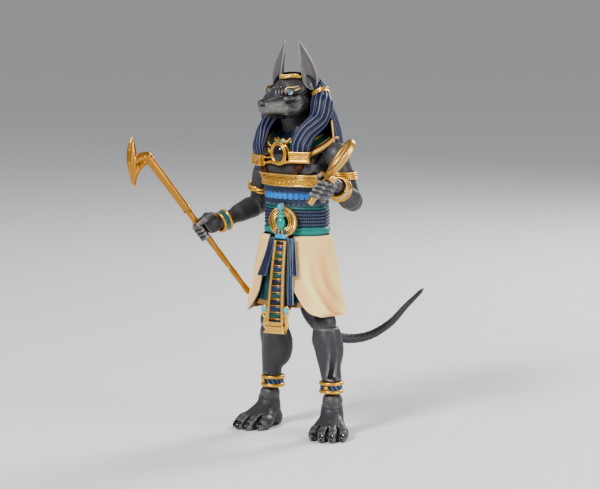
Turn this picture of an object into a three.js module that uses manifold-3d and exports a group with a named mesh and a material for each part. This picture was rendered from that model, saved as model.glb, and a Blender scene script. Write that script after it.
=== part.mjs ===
// Anubis standing figure: a jointed collector's figure of moulded, painted plastic.
// It has a jackal's head under a striped wig, a broad collar, a scale corset, a wrapped kilt,
// a long tail and clawed paws, and it holds a sceptre and an ankh.
//
// Millimetres, +Z up. The figure faces -Y, so its left hand is on +X. The origin is on the
// ground, at the middle of the space that the figure fills.
import * as THREE from "three";
import { mergeVertices } from "three/addons/utils/BufferGeometryUtils.js";
import Module from "manifold-3d";

const wasm = await Module();
wasm.setup();

const v = (x, y, z) => new THREE.Vector3(x, y, z);
const rad = THREE.MathUtils.degToRad;
const lerp = THREE.MathUtils.lerp;
const SIDES = { left: 1, right: -1 };

// How tall the figure stands, to the tips of its ears. The sizes below are for this height.
const HEIGHT = 196.5;

// Clearance between pieces that touch.
const GAP = 0.3;

// Skeleton: where the joints are.
const GROUND = -1.6;
const ANKLE = { left: v(23.2, -0.6, 16), right: v(-18.8, 6.2, 14.9) };
const KNEE = { left: v(19.6, -0.2, 51.4), right: v(-14.6, 4.6, 49.8) };
const HIP = { left: v(10.5, 1, 83), right: v(-7.5, 2, 83) };
const SHOULDER = { left: v(26.4, -1, 138.6), right: v(-20.9, 7.4, 135) };
const ELBOW = { left: v(30.8, 6.4, 115.8), right: v(-27.8, 10.8, 110.6) };
const WRIST = { left: v(33.6, -14.6, 125.6), right: v(-35.7, -12.4, 103.1) };
const CHEST = v(2.5, 2.5, 128);
const WAIST = v(1.5, 1.5, 108);
const HEAD = v(-0.2, -2.6, 168.5);

// Which way parts of the body face, in degrees about the upright, from straight ahead.
const FOOT_TURN = { left: 23, right: -8 };
const CHEST_TURN = -11;
const HEAD_TURN = -11;

// Forms. A form is a function of a point that gives the distance to a surface, negative inside.

// A ball, stretched to three radii.
function egg(centre, rx, ry, rz) {
  const radii = v(rx, ry, rz);
  return (p) => {
    const q = p.clone().sub(centre).divide(radii);
    const near = q.length();
    const slope = q.divide(radii).length();
    return slope > 1e-9 ? (near * (near - 1)) / slope : -Math.min(rx, ry, rz);
  };
}

// A rod with round ends, from radius ra at a to radius rb at b.
function bone(a, b, ra, rb) {
  const run = b.clone().sub(a);
  return (p) => {
    const q = p.clone().sub(a);
    const t = THREE.MathUtils.clamp(q.dot(run) / run.lengthSq(), 0, 1);
    return q.addScaledVector(run, -t).length() - lerp(ra, rb, t);
  };
}

// Several forms run together, with a fillet of about the given size where they meet.
function blend(soft, ...forms) {
  return (p) =>
    forms
      .map((form) => form(p))
      .reduce((a, b) => {
        const share = Math.max(soft - Math.abs(a - b), 0) / soft;
        return Math.min(a, b) - (share * share * soft) / 4;
      });
}

// A form that is the same on both sides of the plane x = 0.
const mirrored = (form) => (p) => form(v(Math.abs(p.x), p.y, p.z));

// The matrix that turns about the upright and then moves.
const stand = (turn, place) =>
  new THREE.Matrix4().makeRotationZ(rad(turn)).setPosition(place);

// Meshes.

// A closed surface through rings of as many points each, between two end points.
function loft(rings, first, last) {
  const sides = rings[0].length;
  const points = [first, ...rings.flat(), last];
  const end = points.length - 1;
  const at = (ring, i) => 1 + ring * sides + (i % sides);
  const faces = [];
  for (let i = 0; i < sides; i++) {
    faces.push([0, at(0, i + 1), at(0, i)]);
    faces.push([end, at(rings.length - 1, i), at(rings.length - 1, i + 1)]);
    for (let r = 0; r + 1 < rings.length; r++) {
      const [a, b] = [at(r, i), at(r, i + 1)];
      const [c, d] = [at(r + 1, i), at(r + 1, i + 1)];
      faces.push([a, b, d], [a, d, c]);
    }
  }
  return shell(points, faces);
}

// The solid that a closed geometry bounds.
function solid(geometry) {
  const bare = geometry.clone();
  for (const name of Object.keys(bare.attributes))
    if (name !== "position") bare.deleteAttribute(name);
  const merged = mergeVertices(bare, 1e-4);
  return new wasm.Manifold(
    new wasm.Mesh({
      numProp: 3,
      vertProperties: new Float32Array(merged.attributes.position.array),
      triVerts: new Uint32Array(merged.index.array),
    }),
  );
}

const join = (solids) => solids.reduce((a, b) => a.add(b));
const cut = (body, tools) => tools.reduce((a, b) => a.subtract(b), body);

// Directions square to a spine at each of its points: the second is as near as can be to up.
function spineFrames(spine, up) {
  return spine.map((point, i) => {
    const run = spine[Math.min(i + 1, spine.length - 1)]
      .clone()
      .sub(spine[Math.max(i - 1, 0)])
      .normalize();
    const across = run.clone().cross(up).normalize();
    return { point, run, across, over: across.clone().cross(run) };
  });
}

// How far the surface of a form, grown by some clearance, is from a point inside it.
const STEP = 0.5;
function reach(form, from, direction, grow) {
  let low = 0;
  let high = STEP;
  const at = (distance) => form(from.clone().addScaledVector(direction, distance));
  while (at(high) < grow) {
    low = high;
    high += STEP;
  }
  for (let i = 0; i < 12; i++) {
    const middle = (low + high) / 2;
    if (at(middle) < grow) low = middle;
    else high = middle;
  }
  return (low + high) / 2;
}

// A closed cuff that follows the skin of a form about an axis, from a profile of [outward, along].
function cuff(form, from, to, profile, { sides = 12, clear = 0.45, near = v(0, 0, 1) } = {}) {
  const axis = to.clone().sub(from).normalize();
  const across = axis.clone().cross(near).normalize();
  const over = across.clone().cross(axis);
  const rays = Array.from({ length: sides }, (_, i) => {
    const angle = (2 * Math.PI * (i + 0.5)) / sides;
    return across.clone().multiplyScalar(Math.cos(angle)).addScaledVector(over, Math.sin(angle));
  });
  const ring = (out, rise) => {
    const middle = from.clone().addScaledVector(axis, rise);
    return rays.map((ray) =>
      middle.clone().addScaledVector(ray, reach(form, middle, ray, clear) + out),
    );
  };
  return belt(profile.map(([out, rise]) => ring(out, rise)));
}

// The skin of a form, as rings about a spine that runs inside it.
function skin(form, spine, { sides = 12, grow = 0, up = v(0, 0, 1) } = {}) {
  const frames = spineFrames(spine, up);
  const ring = ({ point, across, over }) =>
    Array.from({ length: sides }, (_, i) => {
      const angle = (2 * Math.PI * (i + 0.5)) / sides;
      const ray = across
        .clone()
        .multiplyScalar(Math.cos(angle))
        .addScaledVector(over, Math.sin(angle));
      return point.clone().addScaledVector(ray, reach(form, point, ray, grow));
    });
  const tip = ({ point, run }, sign) => {
    const ray = run.clone().multiplyScalar(sign);
    return point.clone().addScaledVector(ray, reach(form, point, ray, grow));
  };
  return loft(frames.map(ring), tip(frames[0], -1), tip(frames.at(-1), 1));
}

// A tube through points, with a radius at each, and blunt ends.
function tube(points, radii, { sides = 8, up = v(0, 0, 1), flat = 1, cap = 0.6 } = {}) {
  const frames = spineFrames(points, up);
  const rings = frames.map(({ point, across, over }, r) =>
    Array.from({ length: sides }, (_, i) => {
      const angle = (2 * Math.PI * (i + 0.5)) / sides;
      return point
        .clone()
        .addScaledVector(across, Math.cos(angle) * radii[r])
        .addScaledVector(over, Math.sin(angle) * radii[r] * flat);
    }),
  );
  const end = ({ point, run }, radius, sign) =>
    point.clone().addScaledVector(run, sign * cap * radius);
  return loft(rings, end(frames[0], radii[0], -1), end(frames.at(-1), radii.at(-1), 1));
}

// Points at shares of the way along a curve through given points.
function along(points, count) {
  const curve = new THREE.CatmullRomCurve3(points, false, "centripetal");
  return Array.from({ length: count }, (_, i) => curve.getPoint(i / (count - 1)));
}

const straight = (a, b, shares) => shares.map((t) => a.clone().lerp(b, t));

// A closed belt: rings of as many points each, the last joined to the first.
function belt(rings) {
  const sides = rings[0].length;
  const at = (ring, i) => (ring % rings.length) * sides + (i % sides);
  const faces = [];
  for (let r = 0; r < rings.length; r++)
    for (let i = 0; i < sides; i++) {
      const [a, b] = [at(r, i), at(r, i + 1)];
      const [c, d] = [at(r + 1, i), at(r + 1, i + 1)];
      faces.push([a, b, d], [a, d, c]);
    }
  return shell(rings.flat(), faces);
}

// Points round an ellipse that lies flat at a height.
const ellipse = (rx, ry, z, sides) =>
  Array.from({ length: sides }, (_, i) => {
    const angle = (2 * Math.PI * (i + 0.5)) / sides;
    return v(rx * Math.cos(angle), ry * Math.sin(angle), z);
  });

// A ring round an ellipse, from a profile of [outward, upward] points.
const hoop = (rx, ry, profile, sides) =>
  belt(profile.map(([out, rise]) => ellipse(rx + out, ry + out, rise, sides)));

// A profile of [outward, upward] points swept along a closed path that lies square to up.
function wreath(path, up, profile) {
  const last = path.length - 1;
  const frames = path.map((point, i) => {
    const run = path[i < last ? i + 1 : 0].clone().sub(path[i > 0 ? i - 1 : last]);
    return { point, out: run.cross(up).normalize() };
  });
  return belt(
    profile.map(([out, rise]) =>
      frames.map((frame) =>
        frame.point.clone().addScaledVector(frame.out, out).addScaledVector(up, rise),
      ),
    ),
  );
}

// A body of ellipses stacked upright, each given as [height, rx, ry], with flat ends.
function stack(levels, sides) {
  const rings = levels.map(([z, rx, ry]) => ellipse(rx, ry, z, sides));
  return loft(rings, v(0, 0, levels[0][0]), v(0, 0, levels.at(-1)[0]));
}

// A straight-sided block about the origin.
const block = (width, depth, height) => new THREE.BoxGeometry(width, depth, height);

// A closed sheet: an outer and an inner grid of points, joined round the edge.
function slab(outer, inner) {
  const rows = outer.length;
  const columns = outer[0].length;
  const positions = [...outer.flat(), ...inner.flat()];
  const back = rows * columns;
  const faces = [];
  const at = (r, c) => r * columns + c;
  for (let r = 0; r + 1 < rows; r++)
    for (let c = 0; c + 1 < columns; c++) {
      const [a, b, d, e] = [at(r, c), at(r, c + 1), at(r + 1, c), at(r + 1, c + 1)];
      faces.push([a, b, e], [a, e, d]);
      faces.push([back + a, back + e, back + b], [back + a, back + d, back + e]);
    }
  const rim = [];
  for (let c = 0; c + 1 < columns; c++) rim.push(at(0, c));
  for (let r = 0; r + 1 < rows; r++) rim.push(at(r, columns - 1));
  for (let c = columns - 1; c > 0; c--) rim.push(at(rows - 1, c));
  for (let r = rows - 1; r > 0; r--) rim.push(at(r, 0));
  rim.forEach((a, i) => {
    const b = rim[(i + 1) % rim.length];
    faces.push([a, back + b, b], [a, back + a, back + b]);
  });
  return shell(positions, faces);
}

// A geometry from points and triangles, with its faces pointing out.
function shell(points, faces) {
  const volume = faces.reduce(
    (sum, [a, b, c]) =>
      sum + points[a].dot(points[b].clone().cross(points[c])) / 6,
    0,
  );
  const wound = volume < 0 ? faces.map(([a, b, c]) => [a, c, b]) : faces;
  const geometry = new THREE.BufferGeometry();
  geometry.setFromPoints(points);
  geometry.setIndex(wound.flat());
  return geometry;
}

// Pieces.

// A moulded piece: its form, and the same grown by a clearance, which its neighbours are cut by.
// Where a cut is hidden it has fewer sides, and room to spare for them.
const ROOM = { grow: 1, sides: 10 };
const SPACE = { grow: 1.6, sides: 14 };
const moulded =
  (frame, form, spine, options = {}) =>
  (more = 0) => {
    const room = more.grow ? more : { grow: more };
    return solid(skin(form, spine, { ...options, ...room }).applyMatrix4(frame));
  };

const IDENTITY = new THREE.Matrix4();
const level = (z, axis) => v(axis.x, axis.y, z);
const under = (body, z) => body.trimByPlane([0, 0, -1], -z);
const above = (body, z) => body.trimByPlane([0, 0, 1], z);

// The largest of the bodies that a cut leaves.
const main = (body) =>
  body.decompose().reduce((a, b) => (b.volume() > a.volume() ? b : a));

// What is worn round the waist, one above the other: the sash, the corset and the chest band.
const SASH_BOTTOM = 99;
const SASH_HEIGHT = 15.2;
const CORSET_HEIGHT = 9.2;
const BAND_HEIGHT = 6.2;
const CORSET_BOTTOM = SASH_BOTTOM + SASH_HEIGHT;
const BAND_BOTTOM = CORSET_BOTTOM + CORSET_HEIGHT;
const BAND_TOP = BAND_BOTTOM + BAND_HEIGHT;

// Torso, about the middle of the chest, with the neck.
const chestFrame = stand(CHEST_TURN, level(0, CHEST));
const chestForm = mirrored(
  blend(
    4,
    egg(v(0, 0.5, 128), 18.6, 14, 19),
    egg(v(8.6, -7.5, 132.5), 8.8, 6.3, 6.5),
    bone(v(5, 3, 146.5), v(18, 1.5, 140.5), 5, 5.5),
    bone(v(11, 7, 140), v(12, 5, 126), 6, 5),
  ),
);
const neckForm = bone(v(0, 2.5, 140), v(-1.6, -3.5, 158), 8, 6.6);
const chest = moulded(
  chestFrame,
  chestForm,
  [121, 126.5, 131, 135, 139, 142.5, 145.5, 147.5].map((z) => v(0, 1.5, z)),
  { sides: 18, up: v(0, 1, 0) },
);
const neck = moulded(
  chestFrame,
  neckForm,
  straight(v(0, 2.5, 140), v(-1.6, -3.5, 158), [0, 0.5, 1]),
  { sides: 12, up: v(0, 1, 0) },
);

// Arms.
const armForms = Object.fromEntries(
  Object.keys(SIDES).map((side) => {
    const [s, e, w] = [SHOULDER[side], ELBOW[side], WRIST[side]];
    return [
      side,
      {
        upper: blend(
          3,
          egg(s, 6.3, 6.6, 7),
          bone(s.clone().lerp(e, 0.3), e.clone().lerp(s, 0.12), 5.6, 5),
          egg(e, 5.1, 5.1, 5.1),
        ),
        fore: blend(
          3,
          bone(e.clone().lerp(w, 0.06), w, 4.8, 3.5),
          bone(e.clone().lerp(w, 0.24), e.clone().lerp(w, 0.48), 6, 5.2),
        ),
      },
    ];
  }),
);
const arms = Object.fromEntries(
  Object.keys(SIDES).map((side) => {
    const [s, e, w] = [SHOULDER[side], ELBOW[side], WRIST[side]];
    const { upper, fore } = armForms[side];
    return [
      side,
      {
        upper: moulded(IDENTITY, upper, straight(s, e, [-0.14, 0.08, 0.32, 0.55, 0.8, 1.02]), {
          sides: 10,
          up: v(0, 1, 0),
        }),
        fore: moulded(IDENTITY, fore, straight(e, w, [-0.02, 0.18, 0.38, 0.6, 0.78, 0.98]), {
          sides: 10,
        }),
      },
    ];
  }),
);

// Head, about the middle of the skull, facing -Y.
const headFrame = stand(HEAD_TURN, HEAD);
const headForm = mirrored(
  blend(
    2.2,
    egg(v(0, 2, 2.3), 9.3, 10.6, 8.2),
    bone(v(0, -6, -2.5), v(0, -17.8, -5.1), 6.6, 3.5),
    egg(v(0, -19.6, -3), 2.3, 1.7, 1.7),
    bone(v(2.4, -18, -7), v(5.2, -8, -8), 2.1, 2.8),
    bone(v(0, -16.2, -9), v(0, -4, -10.2), 2.2, 4.2),
    egg(v(5.3, -2, -8.8), 4, 5, 4),
    egg(v(6.2, 2.4, -5.5), 3.6, 5.4, 5.8),
    egg(v(6.2, -1, -5.5), 4, 5.5, 5.5),
    bone(v(2.4, -10.6, 1.4), v(7, -8.4, 2.2), 1.7, 1.7),
    bone(v(0, -8, 1), v(0, -13, -1.2), 4.2, 3.2),
  ),
);
const skull = moulded(
  headFrame,
  headForm,
  [
    v(0, 8, 1),
    v(0, 3.6, 0.5),
    v(0, -1, -0.8),
    v(0, -5, -1.8),
    v(0, -8.4, -3),
    v(0, -12, -4.6),
    v(0, -15.6, -5.4),
    v(0, -18.6, -5.2),
    v(0, -20.6, -4.2),
  ],
  { sides: 14 },
);

// One ear: a pointed blade, hollow in front, from its root to its tip.
const EAR = [
  // share of the way up, half width, depth, hollow
  [0, 3, 2.6, 0.4],
  [0.12, 4.8, 3.1, 1.4],
  [0.32, 4.9, 3, 1.7],
  [0.55, 4, 2.6, 1.5],
  [0.76, 2.8, 1.9, 0.9],
  [0.91, 1.4, 1.2, 0.4],
];
const EAR_ROOT = v(10, 2.6, -0.6);
const EAR_BULGE = v(12.2, 2.4, 8);
const EAR_TIP = v(4.6, 1.6, 26.4);
function ear(sign, grow) {
  const mirror = ({ x, y, z }) => v(sign * x, y, z);
  const path = new THREE.QuadraticBezierCurve3(mirror(EAR_ROOT), mirror(EAR_BULGE), mirror(EAR_TIP));
  const facing = v(sign * 0.3, -0.95, 0.06).normalize();
  const outline = [
    [1, 0.25],
    [0.72, -0.75],
    [0, -1],
    [-0.72, -0.75],
    [-1, 0.25],
    [-0.62, 0.42],
    [0, 0.1],
    [0.62, 0.42],
  ];
  const rings = EAR.map(([share, width, depth, hollow]) => {
    const centre = path.getPoint(share);
    const run = path.getTangent(share);
    const across = run.clone().cross(facing).normalize();
    const front = across.clone().cross(run).normalize();
    return outline.map(([x, y], i) => {
      const into = i > 4 && !grow ? hollow * (i === 6 ? 0.9 : 0.35) : 0;
      return centre
        .clone()
        .addScaledVector(across, x * (width + grow))
        .addScaledVector(front, y * (depth + grow) - into);
    });
  });
  const start = path.getPoint(0).add(v(0, 0, -0.8));
  const end = path.getPoint(1).add(v(0, 0, grow));
  return solid(loft(rings, start, end).applyMatrix4(headFrame));
}

// The circlet: a beaded gold diadem over the brow, from ear to ear.
const BROW = [
  v(6.8, 0, 9),
  v(3.9, -3.3, 9.9),
  v(0, -5.5, 9.4),
  v(-3.9, -3.3, 9.9),
  v(-6.8, 0, 9),
];
const BEADS = 5;
function circlet(grow = 0) {
  const path = along(BROW, 9);
  const strip = tube(
    path,
    path.map(() => 1.25 + grow),
    { sides: 6, flat: 0.8 },
  );
  const beads = along(BROW, BEADS + 2)
    .slice(1, -1)
    .map((p) => new THREE.OctahedronGeometry(1.05 + grow).translate(p.x, p.y - 0.3, p.z + 0.9));
  return join([strip, ...beads].map((g) => solid(g.applyMatrix4(headFrame))));
}

// The wig: a cap behind the ears that falls down the back, and two locks in front.
const WIG_STRANDS = 15;
const STRAND_DEPTH = 0.6;
const WIG_LEVELS = [
  // height above the middle of the skull, half width, half depth, how far back its middle is
  [11.6, 6.4, 5.8, 2.4],
  [8, 12.2, 10.8, 3],
  [1, 16.6, 14.3, 3.2],
  [-8, 22, 16.6, 4],
  [-20, 25, 16.8, 6.4],
  [-35, 25.2, 15, 9],
];
function wigFall() {
  const rings = WIG_LEVELS.map(([z, rx, ry, back], level) =>
    Array.from({ length: 2 * WIG_STRANDS }, (_, i) => {
      const angle = (Math.PI * i) / WIG_STRANDS;
      const deep = i % 2 ? STRAND_DEPTH * Math.min(level, 2) * 0.6 : 0;
      return v((rx - deep) * Math.cos(angle), back + (ry - deep) * Math.sin(angle), z);
    }),
  );
  const top = v(0, 2.4, 12.7);
  const fall = loft(rings, top, v(0, 9, -35)).applyMatrix4(headFrame);
  const face = block(80, 40, 40).translate(0, 2.8 - 20, 11);
  const front = block(80, 40, 40).translate(0, 5 - 20, -29);
  return cut(solid(fall), [face, front].map((g) => solid(g.applyMatrix4(headFrame))));
}

// Where the locks end: a clasp on the chest.
const CLASP = { x: { 1: 13, [-1]: 15 }, y: -14.2, z: { 1: 138.2, [-1]: 135.6 } };
const CLASP_SIZE = { width: 11.2, depth: 3.4, height: 5.6 };
const CLASP_OUT = 0.48;

// A lock: a fluted band that hangs from behind the ear to the clasp on the chest.
const LOCK_WIDTH = [10, 10.6, 10.4, 10, 10, 10.2, 10.2];
const LOCK_DEPTH = [7, 8, 7.2, 6, 4.6, 3.4, 2.4];
const LOCK_FLUTES = 4;
// Its path: three points about the middle of the skull, and three about the middle of the chest.
const LOCK_HEAD = {
  1: [
    [13.8, 5.6, 4.4],
    [17, 3.6, -2],
    [18, 2.8, -8],
  ],
  [-1]: [
    [13.4, 6.4, 4],
    [14.6, 5.2, -3],
    [15, 4.2, -9.4],
  ],
};
const LOCK_CHEST = {
  1: [
    [15.4, -4.2, 155.6],
    [13.4, -9.2, 150.4],
    [12.8, -12.4, 145.4],
  ],
  [-1]: [
    [15.2, -3.6, 154],
    [15.2, -9.6, 148.8],
    [15.4, -12.8, 143],
  ],
};
function lock(sign, grow = 0) {
  const onHead = (x, y, z) => v(sign * x, y, z).applyMatrix4(headFrame);
  const onChest = (x, y, z) => v(sign * x, y, z).applyMatrix4(chestFrame);
  const path = along(
    [
      ...LOCK_HEAD[sign].map((p) => onHead(...p)),
      ...LOCK_CHEST[sign].map((p) => onChest(...p)),
      onChest(CLASP.x[sign], CLASP.y + 0.6, CLASP.z[sign] + 4.4),
      onChest(CLASP.x[sign], CLASP.y + 0.6, CLASP.z[sign]),
    ],
    LOCK_WIDTH.length,
  );
  const rings = path.map((point, i) => {
    const share = i / (path.length - 1);
    const run = path[Math.min(i + 1, path.length - 1)].clone().sub(path[Math.max(i - 1, 0)]);
    const facing = v(sign * lerp(1, CLASP_OUT, share), lerp(-0.15, -1, share), 0);
    const across = run.clone().cross(facing).normalize();
    const out = across.clone().cross(run).normalize();
    const [half, deep] = [LOCK_WIDTH[i] / 2 + grow, LOCK_DEPTH[i] / 2 + grow];
    const front = Array.from({ length: 2 * LOCK_FLUTES + 1 }, (_, k) => {
      const x = k / LOCK_FLUTES - 1;
      const groove = k % 2 || grow ? 0 : 0.45;
      return [x, Math.sqrt(1 - x * x * 0.72) * deep - groove];
    });
    const back = [
      [0.9, -0.6 * deep],
      [0, -deep],
      [-0.9, -0.6 * deep],
    ];
    return [...front, ...back].map(([x, y]) =>
      point.clone().addScaledVector(across, x * half).addScaledVector(out, y),
    );
  });
  return solid(loft(rings, path[0], path.at(-1)));
}

// The collar: a stiff broad collar on the shoulders, stepped in rings.
const COLLAR_SIDES = 18;
const COLLAR_STEPS = [
  // share of the way out, rise above the sheet
  [0, 1.3],
  [0.4, 1.1],
  [0.44, 1.4],
  [0.8, 1.3],
  [0.83, 1.8],
  [1, 1.8],
  [1, 0],
  [0.5, 0],
  [0, 0],
];
function collar(grow = 0) {
  const point = (share, rise, angle) => {
    const [c, s] = [Math.cos(angle), Math.sin(angle)];
    const rx = lerp(8.6, 23.6, share);
    const ry = lerp(8.2, s < 0 ? 14.6 : 12.6, share);
    const rim = lerp(146.4, s < 0 ? 137.8 : 144.4, Math.min(1, Math.abs(s) / 0.75));
    const sag = 1.6 * Math.sin(Math.PI * share);
    return v(rx * c, 1.2 + ry * s, lerp(151.4, rim, share) - sag + rise);
  };
  const rings = COLLAR_STEPS.map(([share, rise]) =>
    Array.from({ length: COLLAR_SIDES }, (_, i) =>
      point(
        share + (share > 0.9 ? 1 : 0) * (grow / 12),
        rise + (rise > 0 ? grow : -grow),
        (2 * Math.PI * (i + 0.5)) / COLLAR_SIDES,
      ),
    ),
  );
  return solid(belt(rings).applyMatrix4(chestFrame));
}

// The pectoral: a clasp on each lock, a bar between them, and a gem in a ring.
const GEM = v(0.4, -15.6, 139.6);
function claspFrame(sign) {
  const turn = (sign * Math.atan(CLASP_OUT) * 180) / Math.PI;
  return chestFrame.clone().multiply(stand(turn, v(sign * CLASP.x[sign], CLASP.y, CLASP.z[sign])));
}
function clasp(sign, grow = 0) {
  const { width, depth, height } = CLASP_SIZE;
  const rim = 0.35;
  const shares = grow ? [-0.5, 0.5] : [-0.5, -0.3, -0.27, 0.27, 0.3, 0.5];
  const levels = shares.map((share, i) => [
    share * (height + 2 * grow),
    i === 2 || i === 3 ? rim : 0,
  ]);
  const rings = levels.map(([z, inset]) =>
    [
      [1, -1],
      [1, 1],
      [-1, 1],
      [-1, -1],
    ].map(([x, y]) => v(x * (width / 2 + grow - inset), y * (depth / 2 + grow - inset), z)),
  );
  const ends = [v(0, 0, levels[0][0]), v(0, 0, levels.at(-1)[0])];
  return solid(loft(rings, ends[0], ends[1]).applyMatrix4(claspFrame(sign)));
}
function pectoral() {
  const gem = new THREE.SphereGeometry(1, 8, 4)
    .rotateX(Math.PI / 2)
    .scale(3.9, 1.9, 4.2)
    .translate(GEM.x, GEM.y - 0.4, GEM.z);
  const ring = hoop(4.1, 4.4, [[-0.9, -1], [0.8, -1], [0.7, 0.9], [-0.5, 1.1]], 10)
    .rotateX(Math.PI / 2)
    .translate(GEM.x, GEM.y, GEM.z);
  const bar = tube(
    [
      v(-CLASP.x[-1], CLASP.y - 0.4, CLASP.z[-1] - 1.6),
      v(-5.5, GEM.y + 0.5, GEM.z - 4.4),
      v(0, GEM.y, GEM.z - 4.9),
      v(5.5, GEM.y + 0.5, GEM.z - 3.9),
      v(CLASP.x[1], CLASP.y - 0.4, CLASP.z[1] - 1.6),
    ],
    [0.8, 0.9, 1, 0.9, 0.8],
    { sides: 4 },
  );
  const crest = v(GEM.x + 2, GEM.y + 1.6, GEM.z + 6);
  const bead = new THREE.IcosahedronGeometry(1.5, 0).translate(crest.x, crest.y, crest.z);
  const wings = tube(
    [
      crest.clone().add(v(-4.4, 0.6, 1.9)),
      crest.clone().add(v(-2, -0.3, -0.3)),
      crest.clone().add(v(2, -0.3, -0.3)),
      crest.clone().add(v(4.4, 0.6, 1.9)),
    ],
    [0.5, 1.3, 1.3, 0.5],
    { sides: 4, flat: 0.8 },
  );
  const local = [gem, ring, bar, bead, wings].map((g) => solid(g.applyMatrix4(chestFrame)));
  return join([...local, clasp(1), clasp(-1)]);
}

// The harness: a ribbed band round the chest, and a strap up to each clasp.
const BAND_PROFILE = [
  [0, 0],
  [2.6, 0],
  [2.2, 1.6],
  [1.7, BAND_HEIGHT - 2.6],
  [1.9, BAND_HEIGHT - 1.2],
  [1.9, BAND_HEIGHT],
  [0, BAND_HEIGHT],
];
function harness() {
  const low = v(0, 1.5, BAND_BOTTOM);
  const band = cuff(chestForm, low, v(0, 1.5, BAND_TOP), BAND_PROFILE, {
    sides: 18,
    clear: 0.7,
    near: v(0, 1, 0),
  });
  const strap = (sign) =>
    tube(
      [
        v(sign * 9.6, -14.3, BAND_TOP - 1),
        v(sign * 11.2, -14.4, BAND_TOP + 2),
        v(sign * 14, -12, BAND_TOP + 6),
      ],
      [1.5, 1.5, 1.5],
      { sides: 4, up: v(0, -1, 0), flat: 0.5, cap: 0 },
    );
  const straps = join([strap(1), strap(-1)].map((g) => solid(g.applyMatrix4(chestFrame))));
  return join([solid(band.applyMatrix4(chestFrame)), cut(straps, [chest(GAP)])]);
}

// The scale corset, in overlapping rows.
const SCALE_ROWS = 3;
const waistFrame = stand(CHEST_TURN * 0.6, level(0, WAIST));
function corset(grow = 0) {
  const top = BAND_BOTTOM - GAP;
  const row = (top - CORSET_BOTTOM) / SCALE_ROWS;
  const size = (z) => {
    const share = (z - CORSET_BOTTOM) / (top - CORSET_BOTTOM);
    return [lerp(16.6, 17.8, share), lerp(12.8, 13.7, share)];
  };
  const levels = Array.from({ length: SCALE_ROWS }, (_, i) => {
    const low = CORSET_BOTTOM + i * row;
    const [a, b] = size(low);
    const [c, d] = size(low + row);
    const lip = [low, a + 0.75, b + 0.75];
    return [lip, [low + 0.35 * row, a + 0.7, b + 0.7], [low + row - 0.02, c, d]];
  }).flat();
  const swollen = levels.map(([z, rx, ry]) => [z, rx + grow, ry + grow]);
  return solid(stack(swollen, 16).applyMatrix4(waistFrame));
}

// The sash: a fold of cloth above and below, and ropes wound between them.
const ROPES = 5;
const ROPE = 1.64;
const ROPES_BOTTOM = SASH_BOTTOM + 4.4;
const SASH_HALF = { width: 18.3, depth: 14.2 };
function sash(grow = 0) {
  const top = CORSET_BOTTOM - GAP;
  const ropes = Array.from({ length: ROPES }, (_, i) => {
    const z = ROPES_BOTTOM + i * ROPE;
    return [
      [z + 0.1, 16.9, 12.9],
      [z + ROPE / 2, 17.7, 13.7],
    ];
  }).flat();
  const upper = ROPES_BOTTOM + ROPES * ROPE;
  const levels = [
    [SASH_BOTTOM, 17, 13],
    [SASH_BOTTOM + 1, SASH_HALF.width, SASH_HALF.depth],
    [SASH_BOTTOM + 3, 18.1, 14],
    ...ropes,
    [upper + 0.2, 17, 13],
    [upper + 1.2, 17.6, 13.6],
    [top, 16.8, 12.9],
  ];
  const swollen = levels.map(([z, rx, ry]) => [z, rx + grow, ry + grow]);
  return solid(stack(swollen, 16).applyMatrix4(waistFrame));
}

// The space that the corset and the sash fill, with a clearance round it.
function belly() {
  const [rx, ry] = [SASH_HALF.width + GAP, SASH_HALF.depth + GAP];
  const levels = [SASH_BOTTOM - GAP, BAND_BOTTOM].map((z) => [z, rx, ry]);
  return solid(stack(levels, 18).applyMatrix4(waistFrame));
}

// The scarab buckle, about the middle of its winged ring.
const BUCKLE = v(2.9, -13.6, 106);
const buckleFrame = stand(-4, BUCKLE);
function buckle(grow = 0) {
  const feathers = 16;
  const band = (out, rise) =>
    Array.from({ length: feathers }, (_, i) => {
      const angle = (2 * Math.PI * (i + 0.5)) / feathers;
      const far = out + (i % 2 && out > 5 ? 0.35 : 0) + (out > 5 ? grow : -grow);
      return v(far * 1.1 * Math.cos(angle), -rise, far * Math.sin(angle));
    });
  const wings = belt([
    band(3.5, -1.1 - grow),
    band(7.2, -1.1 - grow),
    band(7.4, 0.7 + grow),
    band(3.8, 1.5 + grow),
  ]);
  const ball = (rx, ry, rz, x, y, z, around, down) =>
    new THREE.SphereGeometry(1, around, down)
      .rotateX(Math.PI / 2)
      .scale(rx + grow, ry + grow, rz + grow)
      .translate(x, y, z);
  const disc = new THREE.CylinderGeometry(2.1 + grow, 1.7 + grow, 2.4 + 2 * grow, 10);
  const legs = [-1, 1].map((sign) =>
    tube(
      [v(sign * 1.2, -1.2, -3.6), v(sign * 3.2, -1, -4.4), v(sign * 3, -1, -7.4)],
      [0.6 + grow, 0.6 + grow, 0.6 + grow],
      { sides: 4 },
    ),
  );
  const barrel = new THREE.CylinderGeometry(1.35 + grow, 1.35 + grow, 5.4 + 2 * grow, 8);
  const parts = [
    wings,
    disc.translate(0, -1.9, 7.4),
    ball(2.5, 2.4, 4.2, 0, -1.7, -0.9, 8, 4),
    ball(1.9, 1.8, 1.7, 0, -1.9, 4.1, 7, 4),
    block(1.6, 1.6, 5).translate(0, -1, 5.2),
    ...legs,
    block(5, 2.4, 2.6).translate(0, -1, -5),
    barrel.rotateZ(Math.PI / 2).translate(0, -1.6, -7.2),
  ];
  return join(parts.map((g) => solid(g.applyMatrix4(buckleFrame))));
}

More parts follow.
